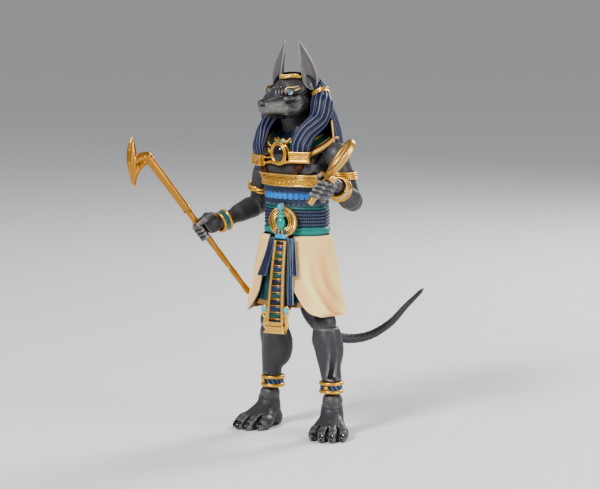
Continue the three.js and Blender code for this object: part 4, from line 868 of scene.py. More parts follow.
def build_body():
    torso = slice_off(inside(chest_in, blend(1.2, chest_form, neck_form)), (0, 0, BAND_BOTTOM), DOWN, 0.1)
    skin_piece("torso_skin", torso, (-25, -16, 122), (30, 22, 166), "torso", 0.65)
    hips = blend(4, egg((1.2, 1.5, 88), 14.6, 10.6, 12), egg((1.4, 3.5, 82), 12, 8.5, 8))
    hips = slice_off(hips, (0, 0, SASH_BOTTOM - 0.3), (0, 0, 1), 0.1)
    skin_piece("hips_skin", hips, (-15, -11, 72), (17, 14, 100), "pelvis", 0.7)
    for side in SIDES:
        s, e, w, h, k, a = (place[side] for place in (SHOULDER, ELBOW, WRIST, HIP, KNEE, ANKLE))
        upper, fore = arm(side)
        lo, hi = np.minimum(s, e) - 8.5, np.maximum(s, e) + 8.5
        skin_piece(f"{side}_upper_arm_skin", upper, lo, hi, f"{side}_upper_arm")
        lo, hi = np.minimum(e, w) - 7.5, np.maximum(e, w) + 7.5
        elbow = roughen(egg(e, *[ELBOW_FORM_RADIUS] * 3), lambda p: 0.2)
        skin_piece(f"{side}_forearm_skin", carve(0.9, fore, elbow), lo, hi, f"{side}_forearm")
        thigh, knee, shin, ankle = leg(side)
        top = slice_off(thigh, (0, 0, k[2] + 7.4), DOWN, 0.6)
        lo, hi = np.minimum(k, h) - 10, np.maximum(k, h) + v(10, 10, 14)
        skin_piece(f"{side}_thigh_skin", top, lo, hi, f"{side}_thigh", 0.6)
        at = k + KNEE_OFF
        skin_piece(f"{side}_knee_skin", knee, at - 7, at + 7, f"{side}_knee")
        low = ANKLET_Z[side]
        calf = slice_off(shin, (0, 0, k[2] + 1.6), (0, 0, 1), 1.0)
        calf = slice_off(calf, (0, 0, low + 6.4), DOWN, 0.3)
        peg = disc(anklet_middle(side) + v(0, 0, 4), (0, 0, 1), 4.3, 3.6, 0.3)
        lo, hi = np.minimum(k, a) - v(10, 10, 0), np.maximum(k, a) + v(10, 10, 3)
        lo[2] = low - 1
        skin_piece(f"{side}_shin_skin", blend(0.2, calf, peg), lo, hi, f"{side}_shin")
        ball_joint = slice_off(ankle, (0, 0, low + 0.9), (0, 0, 1), 0.4)
        skin_piece(f"{side}_ankle_skin", ball_joint, a - 6, a + 6, f"{side}_ankle", 0.4)


# Anklets: two gold rings with a patterned band between them, and a bead in front.
ANKLET_Z = {"left": 19.9, "right": 18.6}
ANKLET_HEIGHT = 6.1
ANKLET_BORE = 4.6
ANKLET_BAND = 0.86


def anklet_middle(side):
    k, a = KNEE[side], ANKLE[side]
    p = SHIN_OFF[side] + lerp(a, k, (ANKLET_Z[side] + ANKLET_HEIGHT - a[2]) / (k[2] - a[2]))
    return v(p[0], p[1], ANKLET_Z[side])


def build_anklet(side):
    out, _ = turned(FOOT_TURN[side] - 19, anklet_middle(side))
    low, high = (half_round(1.0, middle, 0.62, 0.86, 9) for middle in (0.95, 5.15))
    band = [(ANKLET_BAND, z) for z in np.linspace(1.95, 4.15, 9)]
    profile = np.array([(0, low[0][1]), *low, *band, *high, (0, high[-1][1])])
    rise, z = profile[:, :1], profile[:, 1:]
    a = around(120)
    slant = np.sin(14 * a[None] + 1.6 * (z - 3))
    patterned = rise == ANKLET_BAND
    r = ANKLET_BORE + rise + patterned * 0.12 * np.sign(slant) * np.abs(slant) ** 0.5
    ring = belt(np.stack([r * np.cos(a), r * np.sin(a), z + 0 * a], -1))
    checks = np.where((slant > 0)[..., None], rgb("1c2440"), rgb("4f6f8c"))
    tone = np.where(patterned[..., None], checks, GOLD_TONE)
    bead = ball((0, -ANKLET_BORE - 1.1, 3.05), 1.25, 1.0, 1.25)
    tone = flat_tone(tone, len(bead[0]), GOLD_TONE)
    gilded(f"{side}_anklet_gold", placed(bundle(ring, bead), out), f"{side}_anklet", tone, 0.25, 0.15)


FOOT_BOTTOM = GROUND - 1.4
# How far across and in front of the ankle each toe is.
TOES = [(-7.3, 15.6), (-2.5, 19.4), (2.7, 19.6), (7.5, 16.6)]


def build_foot(side):
    out, _ = turned(FOOT_TURN[side], v(ANKLE[side][0], ANKLE[side][1], FOOT_BOTTOM))
    toes = [(SIDES[side] * x, y) for x, y in TOES]
    form = blend(
        2.2,
        bone((0, 0.6, 9), (0, 0.6, 15.4), 5.5, 5.4),
        *[bone((0, 0.6, 11.4), (x * 0.9, 6.4 - y, 4.6), 4.3, 3.2) for x, y in toes],
        egg((0, 2.6, 5), 5.8, 5.4, 5.4),
        egg((0, -5, 3.4), 5.4, 6, 3.2),
    )
    tendons = [bone((x * 0.25, -2.2, 13.2), (x * 0.92, 7.4 - y, 6.8), 0.8, 1.0) for x, y in toes]
    form = blend(1.2, form, *tendons)
    for x, y in toes:
        toe = chain([(x * 0.9, 7.4 - y, 5.4), (x, 3.4 - y, 4.2), (x, 1.1 - y, 2.9)], [2.8, 2.7, 2.0])
        knuckle = egg((x * 0.94, 5.4 - y, 6.2), 2.4, 2.2, 2.2)
        form = blend(0.55, form, blend(1, toe, knuckle))
    clefts = []
    for (x0, y0), (x1, y1) in zip(toes, toes[1:]):
        x, y = (x0 + x1) / 2, (y0 + y1) / 2
        path = [(x * 0.7, 11 - y, 9.2), (x * 0.95, 5 - y, 6.6), (x, 1 - y, 4)]
        clefts.append(chain(path, [0.3, 0.8, 0.9]))
    form = carve(0.8, form, *clefts)
    form = slice_off(form, (0, 0, 1.52), DOWN, 0.6)
    form = slice_off(form, (0, 0, 14.6 - FOOT_BOTTOM), (0, 0, 1), 0.8)
    fur = lambda p: 0.05 * np.sin(4.6 * p[:, 0] + 0.9 * np.sin(0.8 * p[:, 1]) + 0.6 * p[:, 2])
    form = roughen(form, lambda p: 0.03 * waves(p, 2.0, 5) + fur(p))
    mesh = placed(nets(form, (-13, -24, 0.5), (13, 10, 18), 0.5), out)
    piece(f"{side}_foot_skin", mesh, SKIN, [f"{side}_foot"], scale=0.8, stand=0.12)
    claws = []
    for x, y in toes:
        path = curve([(x, 0.9 - y, 4.4), (x, -1.1 - y, 3.9), (x, -2.2 - y, 1.8)], 12)
        claws.append(cord(out(path + v(0, 0, 0.12)), 1.05 * np.linspace(1, 0.04, 12) ** 0.6, 10))
    piece(f"{side}_claws", bundle(*claws), BLACK, [f"{side}_foot"], scale=0)


# What the hands hold.
SCEPTRE = {"low": v(-26.6, 0.6, 66.4), "hand": v(-39.4, -21.1, 100.4), "bend": v(-55.4, -44.6, 136)}
ANKH = {"bottom": v(31, -34.9, 118.2), "cross": v(36.8, -27.7, 130.4), "top": v(45.8, -18.6, 148.5)}
ANKH_RUN = ANKH["top"] - ANKH["bottom"]
SCEPTRE_RUN = SCEPTRE["bend"] - SCEPTRE["low"]
GRIP = {
    # what is held: its axis, a point on it and its radius; the turn of each joint; the fingers' slant
    "left": (ANKH_RUN, ANKH["bottom"] + 0.25 * ANKH_RUN, 1.9, (34, 84, 136, 190), 2.0),
    "right": (SCEPTRE_RUN, SCEPTRE["hand"], 1.7, (34, 90, 160, 230), 0.0),
}
FINGER_PITCH = 2.35


def build_hand(side):
    axis, on, radius, joints, slant = GRIP[side]
    wrist = WRIST[side]
    a = unit(axis)
    to = wrist - on
    to = unit(to - a * (to @ a))
    back = np.cross(a, to) * -SIDES[side]
    curl = radius + 1.5

    def about(deg, rise, r):
        """A point round what is held, from the wrist's side, and along it."""
        t = math.radians(deg)
        return on + to * math.cos(t) * r + back * math.sin(t) * r + a * rise

    def palm_egg(c, r):
        frame_in = lambda p: np.stack([(p - c) @ a, (p - c) @ back, (p - c) @ to], -1)
        return inside(frame_in, egg((0, 0, 0), r, r * 0.62, r))

    heel = on + to * (radius + 2.9) + a * 0.6 * slant
    hand = blend(
        2,
        bone(lerp(wrist, heel, -0.1), lerp(wrist, heel, 0.5), 3.0, 3.0),
        palm_egg(lerp(wrist, heel, 0.6), 4.4),
        palm_egg(heel, 5.1),
        bone(about(20, -3.4, curl + 3.4), about(20, 3.4, curl + 3.4), 1.7, 1.7),
    )
    for k in (-1.5, -0.5, 0.5, 1.5):
        rise = k * FINGER_PITCH
        rises = (rise * 0.8 + slant, rise + 0.4 * slant, rise - 0.3 * slant, rise * 0.94 - 0.8 * slant)
        path = [about(deg, up, curl + r) for deg, up, r in zip(joints, rises, (3.2, 0.9, 0.1, 0))]
        finger = chain(path, [1.45, 1.4, 1.25, 1.05])
        finger = blend(0.25, finger, egg(path[1], *[1.55] * 3), egg(path[2], *[1.38] * 3))
        hand = blend(0.55, hand, finger)
    thumb = [about(-16, 3, curl + 4.2), about(-70, 4.6, curl + 0.8), about(-128, 4.8, curl + 0.2)]
    hand = blend(0.9, hand, chain(thumb, [1.75, 1.5, 1.15]))
    hand = carve(0.3, hand, bone(on - a * 20, on + a * 20, radius + 0.15, radius + 0.15))
    lo, hi = np.minimum(wrist, on) - 9.5, np.maximum(wrist, on) + 9.5
    skin_piece(f"{side}_hand_skin", hand, lo, hi, f"{side}_hand", 0.35, 1.3)


BAND_COLS = 72


def rope_profile(low, high, strands, out, depth, per=7):
    """A profile of rounded ribs between two places."""
    t = np.linspace(0, strands, strands * per + 1)
    rise = out - depth + depth * np.abs(np.sin(math.pi * t))
    return [(0, low), *zip(rise, lerp(low, high, t / strands)), (0, high)]


def twisted_wire(ring, middle, axis, phase):
    """A wire that sways along and out from a ring of points."""
    turn = 2 * around(len(ring)) + phase
    path = ring + axis * 1.05 * np.cos(turn)[:, None] + unit(ring - middle) * 0.3 * np.sin(turn)[:, None]
    run = unit(np.roll(path, -1, 0) - np.roll(path, 1, 0))
    over = unit(path - middle)
    over = unit(over - run * (over * run).sum(1, keepdims=True))
    section = circle(10, 0.62)[None]
    across = np.cross(run, over)
    return belt(path[:, None] + section[..., :1] * across[:, None] + section[..., 1:] * over[:, None])


def build_armlet(side):
    """The left one is a ribbed band and the right one three twisted wires."""
    s, e = SHOULDER[side], ELBOW[side]
    upper = bone(lerp(s, e, 0.3), lerp(s, e, 0.88), 5.6, 5)
    form = blend(3, egg(s, 6.3, 6.6, 7), upper, egg(e, 5.1, 5.1, 5.1))
    ring_of = lambda at, axis, profile: cuff(form, at, axis, profile, BAND_COLS, (0, 1, 0), 0.35)
    if side == "left":
        mesh = belt(ring_of(lerp(s, e, 0.42), DOWN, rope_profile(-1.95, 1.95, 4, 1.15, 0.55)))
    else:
        at, axis = lerp(s, e, 0.62), unit(e - s)
        ring = ring_of(at, axis, [(0.55, 0.0)])[0]
        mesh = bundle(*[twisted_wire(ring, at, axis, 2 * math.pi * k / 3) for k in range(3)])
    gilded(f"{side}_armlet_gold", mesh, f"{side}_armlet", GOLD_TONE, 0.3, 0.1)


BRACELET_AT = {"left": 0.8, "right": 0.93}
BRACELET_TONE = {"left": "b9b4a4", "right": "4f8b9c"}


def build_bracelet(side):
    e, w = ELBOW[side], WRIST[side]
    form = blend(3, bone(lerp(e, w, 0.06), w, 4.8, 3.5), bone(lerp(e, w, 0.24), lerp(e, w, 0.48), 6, 5.2))
    low, high = (half_round(0.9, z, 0.6, 0.62, 7) for z in (-1.95, 1.95))
    profile = [(0, -2.7), *low, *[(0.95, z) for z in np.linspace(-1.2, 1.2, 7)], *high, (0, 2.6)]
    ribs = lambda s, a: 0.1 * np.sin(16 * a) * (abs(s) < 1.25)
    rings = cuff(form, lerp(e, w, BRACELET_AT[side]), w - e, profile, BAND_COLS, (0, 0, 1), 0.5, ribs)
    middle = np.array([abs(z) < 1.25 and out > 0.3 for out, z in profile])
    tone = np.where(middle[:, None, None], rgb(BRACELET_TONE[side]), GOLD_TONE)
    tone = np.repeat(tone, BAND_COLS, 1).reshape(-1, 3)
    gilded(f"{side}_bracelet_gold", belt(rings), f"{side}_bracelet", tone, 0.3, 0.1)


TAIL = [
    (0, 11, 86), (-2.6, 15.6, 76), (-3.8, 17, 66), (-3.9, 19.2, 57), (-2.6, 26.6, 48.4), (0.6, 35.5, 42.6),
    (6.9, 44.4, 39.8), (14.1, 52.5, 41.1), (21.9, 59.7, 47.1), (28.4, 64.9, 55.9), (36.3, 69.8, 65.3),
]
TAIL_ROOT, TAIL_TIP = 3.0, 0.95


def build_tail():
    rows, cols = 300, 28
    path = curve(TAIL, rows)
    t = np.linspace(0, 1, rows)[:, None]
    radius = lerp(TAIL_ROOT, TAIL_TIP, t**2.4) * np.sqrt(np.clip((1 - t) * 40, 0.02, 1))
    rng = np.random.default_rng(4)
    fur = 0
    for _ in range(8):
        n, m, phase = int(rng.integers(-16, 17)), rng.uniform(150, 420), rng.uniform(0, 6.28)
        fur = fur + np.sin(n * around(cols) + m * t + phase)
    r = radius * (1 + 0.018 * fur) - 0.05
    rings = swept(path, circle(cols), (0, 0, 1)) - path[:, None]
    mesh = lofted(path[:, None] + rings * r[..., None])
    piece("tail_skin", mesh, SKIN, ["tail"], scale=0.35)


SCEPTRE_SHAFT = [
    # share of the length, radius
    (0, 1.0), (0.012, 1.4), (0.03, 1.5), (0.07, 1.35), (0.3, 1.45),
    (0.62, 1.6), (0.64, 1.7), (0.66, 2.0), (1, 2.3),
]
SCEPTRE_NECK = [
    # ahead of the bend, above it, radius
    (1.6, 1.8, 2.5), (4, 1.8, 2.3), (7, 0.6, 2.3),
]
SCEPTRE_BLADE = [
    # ahead of the bend, above it, radius
    (9.6, 11.4, 0.6), (9.7, 8.6, 1.6), (9.8, 4.6, 2.45), (9.7, 0, 2.75), (9.1, -4, 2.5), (8.8, -8, 1.8),
    (8.7, -12, 1.0),
]


def build_sceptre():
    low, bend, run = SCEPTRE["low"], SCEPTRE["bend"], SCEPTRE_RUN
    length, along = np.linalg.norm(run), unit(run)
    ahead = unit(v(run[0], run[1], 0))
    local = lambda s, z: bend + ahead * s + v(0, 0, z)
    points = [lerp(low, bend, s) for s, _ in SCEPTRE_SHAFT] + [local(s, z) for s, z, _ in SCEPTRE_NECK]
    shaft = chain(points, [r[-1] for r in SCEPTRE_SHAFT + SCEPTRE_NECK], 0.3)
    rings = [hoop(lerp(low, bend, s), run, 1.75, 1.75, 0.42) for s in (0.628, 0.642)]
    _, to_head = based(bend, ahead, np.cross(ahead, v(0, 0, 1)), v(0, 0, 1))
    blade = chain([(s, 0, z) for s, z, _ in SCEPTRE_BLADE], [r for _, _, r in SCEPTRE_BLADE])
    blade_flat = lambda p: blade(p * v(1, 1.3, 1)) / 1.15
    head = blend(0.8, blade_flat, chain([(3.4, 0, -1), (6, 0, -3.4), (7.8, 0, -6.6)], [1.8, 1.7, 1.3]))
    sides = [[(9.6, k * 2.4, 8), (10, k * 2.6, 0), (9.2, k * 2.4, -6)] for k in (1, -1)]
    head = carve(0.4, head, *[chain(path, [0.4, 0.7, 0.4]) for path in sides])
    form = blend(0.7, blend(0.25, shaft, *rings), inside(to_head, head))
    x = unit(np.cross(run, v(0, 0, 1)))
    y = np.cross(along, x)

    def spiral(p):
        """A shallow spiral runs down the shaft, as on turned and gilded wood."""
        h = (p - low) @ along
        turn = np.arctan2((p - low) @ y, (p - low) @ x)
        return 0.1 * smooth((h - 4) / 3) * smooth((length * 0.6 - h) / 4) * np.sin(2 * turn - h * 0.55)

    lo, hi = np.minimum(low, local(10, -14)) - 4, np.maximum(low, local(10, 13)) + v(4, 4, 3)
    gilded("sceptre_gold", nets(roughen(form, spiral), lo, hi, 0.42, 3), "was_sceptre", "b3803c", 0.6)


def build_ankh():
    top, cross_at, bottom = ANKH["top"], ANKH["cross"], ANKH["bottom"]
    facing = math.radians(59)
    z = unit(ANKH_RUN)
    x = unit(np.cross(v(math.sin(facing), -math.cos(facing), 0.1), z))
    # x is the thickness of the ankh, y its width.
    out, _ = based(cross_at, x, np.cross(z, x), z)
    down, up = np.linalg.norm(cross_at - bottom), np.linalg.norm(top - cross_at)
    t = around(56)
    rise = (1 - np.cos(t)) / 2
    wide = 4.4 * np.sin(math.pi / 2 * rise**0.55)
    path = np.stack([0 * t, -wide * np.sin(t), 1.6 + (up - 3) * rise], -1)
    run = unit(np.roll(path, -1, 0) - np.roll(path, 1, 0))
    side = np.cross(run, v(1, 0, 0))
    # The loop's section is squared, with a groove along its two faces.
    c, s = circle(28).T
    thick, broad = (r * np.sign(k) * np.abs(k) ** 0.45 for r, k in ((1.55, c), (1.4, s)))
    groove = 0.3 * (np.abs(thick) > 1.2) * smooth((0.75 - np.abs(broad)) / 0.3)
    thick = thick - np.sign(c) * groove
    loop = belt(path[:, None] + thick[:, None] * v(1, 0, 0) + broad[:, None] * side[:, None])
    grooves = [brick((k * 1.5, 0, -down / 2), (0.4, 0.8, down / 2 - 1.2), 0.2) for k in (-1, 1)]
    stem = carve(0.2, brick((0, 0, -down / 2 + 0.5), (1.3, 1.55, down / 2 + 0.5), 0.35), *grooves)
    bar = roughen(brick((0, 0, 0.4), (1.4, 7.4, 1.15), 0.3), lambda p: 0.352 * np.abs(p[:, 1]) / 7.5)
    bar = carve(0.2, bar, *[brick((k * 1.55, 0, 0.4), (0.35, 6.4, 0.55), 0.15) for k in (-1, 1)])
    knot = blend(0.3, *[brick((0, 0, h), (1.6, 1.8, 0.32), 0.25) for h in (-1.9, 2.4)])
    mesh = bundle(nets(blend(0.35, stem, bar, knot), (-3, -9, -down - 2), (3, 9, 6), 0.3, 3), loop)
    x, y, z = np.abs(mesh[0][:, 0]), np.abs(mesh[0][:, 1]), mesh[0][:, 2]
    inlay = smooth((1.34 - x) / 0.15) * (y < 0.75) * (z < -2.4) * (x > 0.9)
    gilded("ankh_gold", placed(mesh, out), "ankh", fade("c9a05c", "6b2f22", inlay), 0.4, 0.05)


def build_circlet():
    points = [(7.0, 0.4, 8.6), (3.9, -3.2, 8.8), (0, -4.6, 8.2), (-3.2, -2.7, 8.4), (-6.2, 0.8, 8.2)]
    path = curve(points, 60)
    band = lofted(swept(path, circle(12, 1.15, 0.85), (0, 0, 1)))
    beads = [ball(p + v(0, -0.35, 0.75), 0.78, 0.78, 0.8, 12, 8) for p in curve(points, 13)[1:-1]]
    lines = [cord(path + v(0, -0.95, h), np.full(60, 0.24), 8) for h in (-0.35, 0.25)]
    mesh = placed(bundle(band, *beads, *lines), head_out)
    gilded("circlet_gold", mesh, "circlet", "dcae5c", 0.3, 0.1)


# Wig: a cap that falls down the back in cords, and two locks in front.
FALL = [
    # height, half width, half depth, how far back its middle is
    (10.9, 0.3, 0.3, 2.8),
    (10.7, 3.0, 2.8, 2.8),
    (10.1, 6.8, 6.2, 2.8),
    (8, 12.2, 10.8, 3),
    (1, 16.6, 14.3, 3.2),
    (-8, 22, 16.6, 4),
    (-20, 25, 16.8, 6.4),
    (-35, 25.2, 15, 9),
]
LOCKS = {
    # each lock's path, over the head and then down the chest
    1: (
        [(10.6, 7.6, 6.6), (13.6, 7.0, 1.4), (16.8, 4.2, -4), (18, 2.8, -8.6)],
        [(15.4, -4.2, 155.6), (13.4, -9.2, 150.4), (12.8, -12.4, 145.4), (13, -13.6, 142.6),
         (13, -13.4, 139.4)],
    ),
    -1: (
        [(10.4, 7.6, 6.6), (12.6, 7.0, 1.4), (14.6, 5.2, -4), (15, 4.2, -9.4)],
        [(15.2, -3.6, 154), (15.2, -9.6, 148.8), (15.4, -12.8, 143), (15, -13.6, 140), (15, -13.4, 136.8)],
    ),
}
LOCK_CORDS, LOCK_ROWS, LOCK_COLS = 8, 80, 130
LOCK_WIDTHS = [5, 7.4, 10.2, 10, 10, 10.2, 10.2]
LOCK_DEPTHS = [2.6, 4.7, 7, 6, 4.6, 3.0, 1.3]
LOCK_BAND = 14
BAND_PROFILE = [
    (-1.2, -0.5), (-1.2, 0.4), (-0.85, 0.62), (-0.5, 0.34),
    (0.5, 0.34), (0.85, 0.62), (1.2, 0.4), (1.2, -0.5),
]
FALL_THICK, FALL_CORDS = 1.6, 48
SKIN_CLEAR = 0.3


def strands(share):
    """How high a row of cords stands, from 0 in a groove to 1 on a crest."""
    return np.abs(np.sin(math.pi * share)) ** 0.75


def lock_section():
    """The front of a lock's section (across, out), with sides of 1, evenly spaced."""
    g = np.linspace(-2.2, 2.2, 400)
    c, s = np.cos(g), np.sin(g)
    outline = np.stack([np.sign(s) * np.abs(s) ** 0.7, np.where(c > 0, np.abs(c) ** 0.8, 0.75 * c)], -1)
    return evenly(outline, LOCK_COLS)


def build_wig():
    rows, cols, top_rows = 80, 240, 38
    fine = curve(FALL, 400)[::-1]
    read = lambda z: [np.interp(z, fine[:, 0], fine[:, k]) for k in (1, 2, 3)]
    front_edge = lambda z: lerp(2.9, 5.2, smooth((-2 - z) / 9))
    top, bottom = FALL[0][0], FALL[-1][0]
    z = [np.linspace(top, 1, top_rows, endpoint=False), np.linspace(1, bottom, rows - top_rows)]
    z = np.concatenate(z)[:, None]
    rx, ry, back = read(z)
    # Each row runs round the back, from the cut edge on one side to that on the other.
    lead = np.arcsin(np.clip((front_edge(z) - back) / np.maximum(ry, 0.1), -1, 0.98))
    a = lerp(lead, math.pi - lead, np.linspace(0, 1, cols)[None])
    ridge = strands(a / (2 * math.pi) * FALL_CORDS)
    groove = 0.55 * smooth((11.7 - z) / 3) * (1 - ridge)

    def shell(inset, drop):
        return np.stack([(rx - inset) * np.cos(a), back + (ry - inset) * np.sin(a), z - drop + 0 * a], -1)

    meshes = [placed(slab(shell(groove, 0), shell(FALL_THICK, 0.3)), head_out)]
    highs, trims = [ridge.ravel(), np.full(rows * cols, 0.1)], []
    section, lift = lock_section(), strands(np.linspace(0, LOCK_CORDS, LOCK_COLS))
    for sign, (on_head, on_chest) in LOCKS.items():
        flip = v(sign, 1, 1)
        path = [head_out(v(*p) * flip) for p in on_head] + [chest_out(v(*p) * flip) for p in on_chest]
        path = curve(path, LOCK_ROWS)
        t = np.linspace(0, 1, LOCK_ROWS)
        run = unit(np.gradient(path, axis=0))
        across = unit(np.cross(run, np.stack([sign * lerp(1, 0.48, t), lerp(-0.15, -1, t), 0 * t], -1)))
        over = np.cross(across, run)
        half, deep = spread(LOCK_WIDTHS, LOCK_ROWS) / 2, spread(LOCK_DEPTHS, LOCK_ROWS)

        def outline(i, grow=0.0, low=0.0):
            flat = section * (half[i], deep[i])
            size = np.linalg.norm(flat, axis=1)
            flat = flat * ((size + grow - low * (1 - lift)) / size)[:, None]
            return path[i] + flat[:, :1] * across[i] + flat[:, 1:] * over[i]

        meshes.append(lofted(np.array([outline(i, -0.1, 0.55) for i in range(LOCK_ROWS)])))
        highs += [np.tile(lift, LOCK_ROWS), np.zeros(2)]
        # A gold band slants round the top of each lock.
        i = LOCK_BAND
        outer = outline(i)
        away = unit(outer - outline(i, -0.6))
        ring = outer + 0.8 * section[:, :1] * run[i]
        trims.append(lofted(np.stack([ring + s * run[i] + d * away for s, d in BAND_PROFILE], 1)))
        # The cut edge of the fall is gold.
        edge_z = np.linspace(-12.5, bottom + 0.4, 40)
        wide, long_, middle = read(edge_z)
        sine = np.clip((front_edge(edge_z) - middle) / long_, -1, 0.98)
        x, y = sign * (wide - 0.6) * np.sqrt(1 - sine**2), middle + (long_ - 0.6) * sine
        trims.append(cord(head_out(np.stack([x, y, edge_z], -1)), np.full(40, 0.55), 10))
    high = np.concatenate(highs)
    tone = fade("04060c", "161d38", smooth(high / 0.75))
    tone = fade(tone, "757ca6", smooth((high - 0.94) / 0.06) * 0.7)
    piece("wig_cords", clear_of_chest(bundle(*meshes)), WIG, ["wig"], tone, 0.05)
    piece("wig_gold", bundle(*trims), GOLD, ["wig"], "dcae5c", 0.25, 0.05)


def clear_of_chest(mesh):
    """Points of the wig that would lie inside the chest are moved out to just over it."""
    p = mesh[0].copy()
    chest = inside(chest_in, blend(1.5, chest_plain, neck_form))
    for _ in range(3):
        d = chest(p)
        hit = d < SKIN_CLEAR
        if not hit.any():
            break
        p[hit] += (SKIN_CLEAR - d[hit])[:, None] * slope(chest, p[hit]) * 0.9
    return p, mesh[1]


COLLAR = [
    # where each row of the collar starts, its height there, and its colour from there on
    (0, 1.6, "26304f"),
    (0.06, 1.6, "26304f"),
    (0.1, 1.25, "1c5c9e"),
    (0.4, 1.2, "d9a850"),
    (0.44, 1.55, "d9a850"),
    (0.47, 1.25, "17604f"),
    (0.72, 1.25, "d9a850"),
    (0.75, 1.5, "5b2a26"),
    (0.86, 1.3, "5b2a26"),
    (0.89, 1.95, "d9a850"),
    (1.0, 1.95, "d9a850"),
]


def build_collar():
    rows, cols = 60, 160
    share, a = np.linspace(0, 1, rows)[:, None], around(cols)
    c, s = np.cos(a), np.sin(a)
    stops = [row[0] for row in COLLAR]
    rise = np.interp(share, stops, [row[1] for row in COLLAR])
    front = 1 / (1 + np.exp(14 * s))
    rx, ry = lerp(8.6, 23.4, share), lerp(8.2, lerp(12.6, 14.6, front)[None], share)
    rim = lerp(146.4, lerp(144.4, 137.8, front), np.minimum(1, np.abs(s) / 0.75))
    z = lerp(151.4, rim[None], share) - 1.6 * np.sin(math.pi * share)
    beads = ((share > 0.1) & (share < 0.4)) * 0.16 * np.abs(np.sin(34 * a)) ** 0.6
    beads = beads + ((share > 0.47) & (share < 0.72)) * 0.1 * np.abs(np.sin(60 * a))
    top = np.stack([rx * c, 1.2 + ry * s, z + rise + beads], -1)
    low = np.stack([rx * c, 1.2 + ry * s, z + 0.05], -1)
    pick = np.clip(np.searchsorted(stops, share[:, 0], "right") - 1, 0, len(COLLAR) - 1)
    tone = np.array([rgb(row[2]) for row in COLLAR])[pick][:, None]
    # The blue is in shade under the chin.
    tone = tone * lerp(1, 0.08, smooth(-s[None] / 0.8) * (share < 0.4))[..., None]
    mesh = placed(belt(np.concatenate([top, low[::-1]])), chest_out)
    tone = flat_tone(tone, rows * cols, "2a2a2e")
    piece("collar_bands", mesh, ENAMEL_SOFT, ["collar"], tone, 0.25)


CLASP_AT = {1: v(13, -14.2, 138.2), -1: v(-15, -14.2, 135.6)}
CLASP_TURN = math.degrees(math.atan(0.48))
GEM_AT = v(0.4, -15.6, 139.6)
GEM_LEAN = (math.cos(0.3), 0, math.sin(0.3))
FRONT = (0, 1, 0)


def clasp(sign):
    _, back = turned(sign * CLASP_TURN, CLASP_AT[sign])
    rims = [brick((0, 0, k * 2.15), (5.6, 1.7, 0.65), 0.35) for k in (1, -1)]
    ends = [brick((x, -1.3, 0), (0.3, 0.3, 2.2), 0.2) for x in (-5.0, 5.0)]
    box = blend(0.15, blend(0.2, brick((0, 0, 0), (5.25, 1.4, 2.3), 0.3), *rims), *ends)

    def marks(p):
        face = smooth((-1.2 - p[:, 1]) / 0.15) * (np.abs(p[:, 0]) < 4.5) * (np.abs(p[:, 2]) < 1.35)
        strokes = 0.12 * np.sin(p[:, 0] * 5.2 + np.floor(p[:, 2] * 1.15) * 2.1)
        return face * -(np.sin(p[:, 2] * 7.2) * 0.16 + strokes)

    return inside(back, roughen(box, lambda p: -marks(p)))


def build_pectoral():
    g, crest = GEM_AT, GEM_AT + v(2, 1.4, 5.9)
    upper_bar = [(-15, -14.9, 137.4), (-9, -15.2, 137.0), (-4.2, -15.5, 137.6)]
    lower_bar = [(-15, -14.9, 134.4), (-9, -15.2, 134.4), (-5.5, -15.2, 135.1), (0, -15.8, 134.6),
                 (5.5, -15.2, 135.6), (13, -14.7, 136.3)]
    parts = [
        clasp(1),
        clasp(-1),
        hoop(g + v(0, -0.3, 0), FRONT, 4.9, 5.5, 0.5, GEM_LEAN),
        hoop(g + v(0, -0.5, 0), FRONT, 3.75, 4.3, 0.36, GEM_LEAN),
        disc(g + v(0, 0.5, 0), FRONT, 4.6, 0.7),
        chain(lower_bar, [0.75, 0.6, 0.8, 1.0, 0.8, 0.75]),
        chain(upper_bar, [0.5, 0.45, 0.45]),
    ]
    for k in (1, -1):
        wing = [crest + v(4.3 * k, 0.6, 1.8), crest + v(2.2 * k, -0.2, -0.2), crest]
        parts.append(chain(wing, [0.35, 0.9, 1.1]))
    tail = [crest + v(-0.6, 0, -0.6), crest + v(1.6, 0.2, -2.6), crest + v(3.6, 0.6, -5.4)]
    parts += [chain(tail, [0.9, 0.9, 0.6]), egg(crest + v(0, -0.3, 0.2), 1.7, 1.3, 1.7)]
    for h in (3.4, 0.2):
        stud = [g + v(-5.2, 0.8, h), g + v(-7.0, 0.7, h + 0.4), g + v(-7.6, 0.5, h + 1.8)]
        parts.append(chain(stud, [0.5, 0.5, 0.3]))
    mesh = nets(blend(0.35, *parts), (-22, -20, 131), (20, -9, 150), 0.3, 3)
    gilded("pectoral_gold", placed(mesh, chest_out), "pectoral", "dba850", 0.35, 0.02)
    gem = placed(ball(g + v(0, -0.5, 0), 3.5, 1.7, 4.0, 40, 24), chest_out)
    piece("pectoral_gem", gem, BLACK, ["pectoral"], scale=0)
    bead = placed(ball(crest + v(0, -1.25, 0.2), 1.05, 0.75, 1.05), chest_out)
    piece("pectoral_bead", bead, ENAMEL, ["pectoral"], "2d9bb5", 0)


STRAP_SECTION = [
    (-1.5, -0.3), (-1.5, 0.45), (-1.1, 0.6), (-0.8, 0.35), (0, 0.3),
    (0.8, 0.35), (1.1, 0.6), (1.5, 0.45), (1.5, -0.3),
]
MARKS_LOW, MARKS_HIGH = 1.05, 2.95


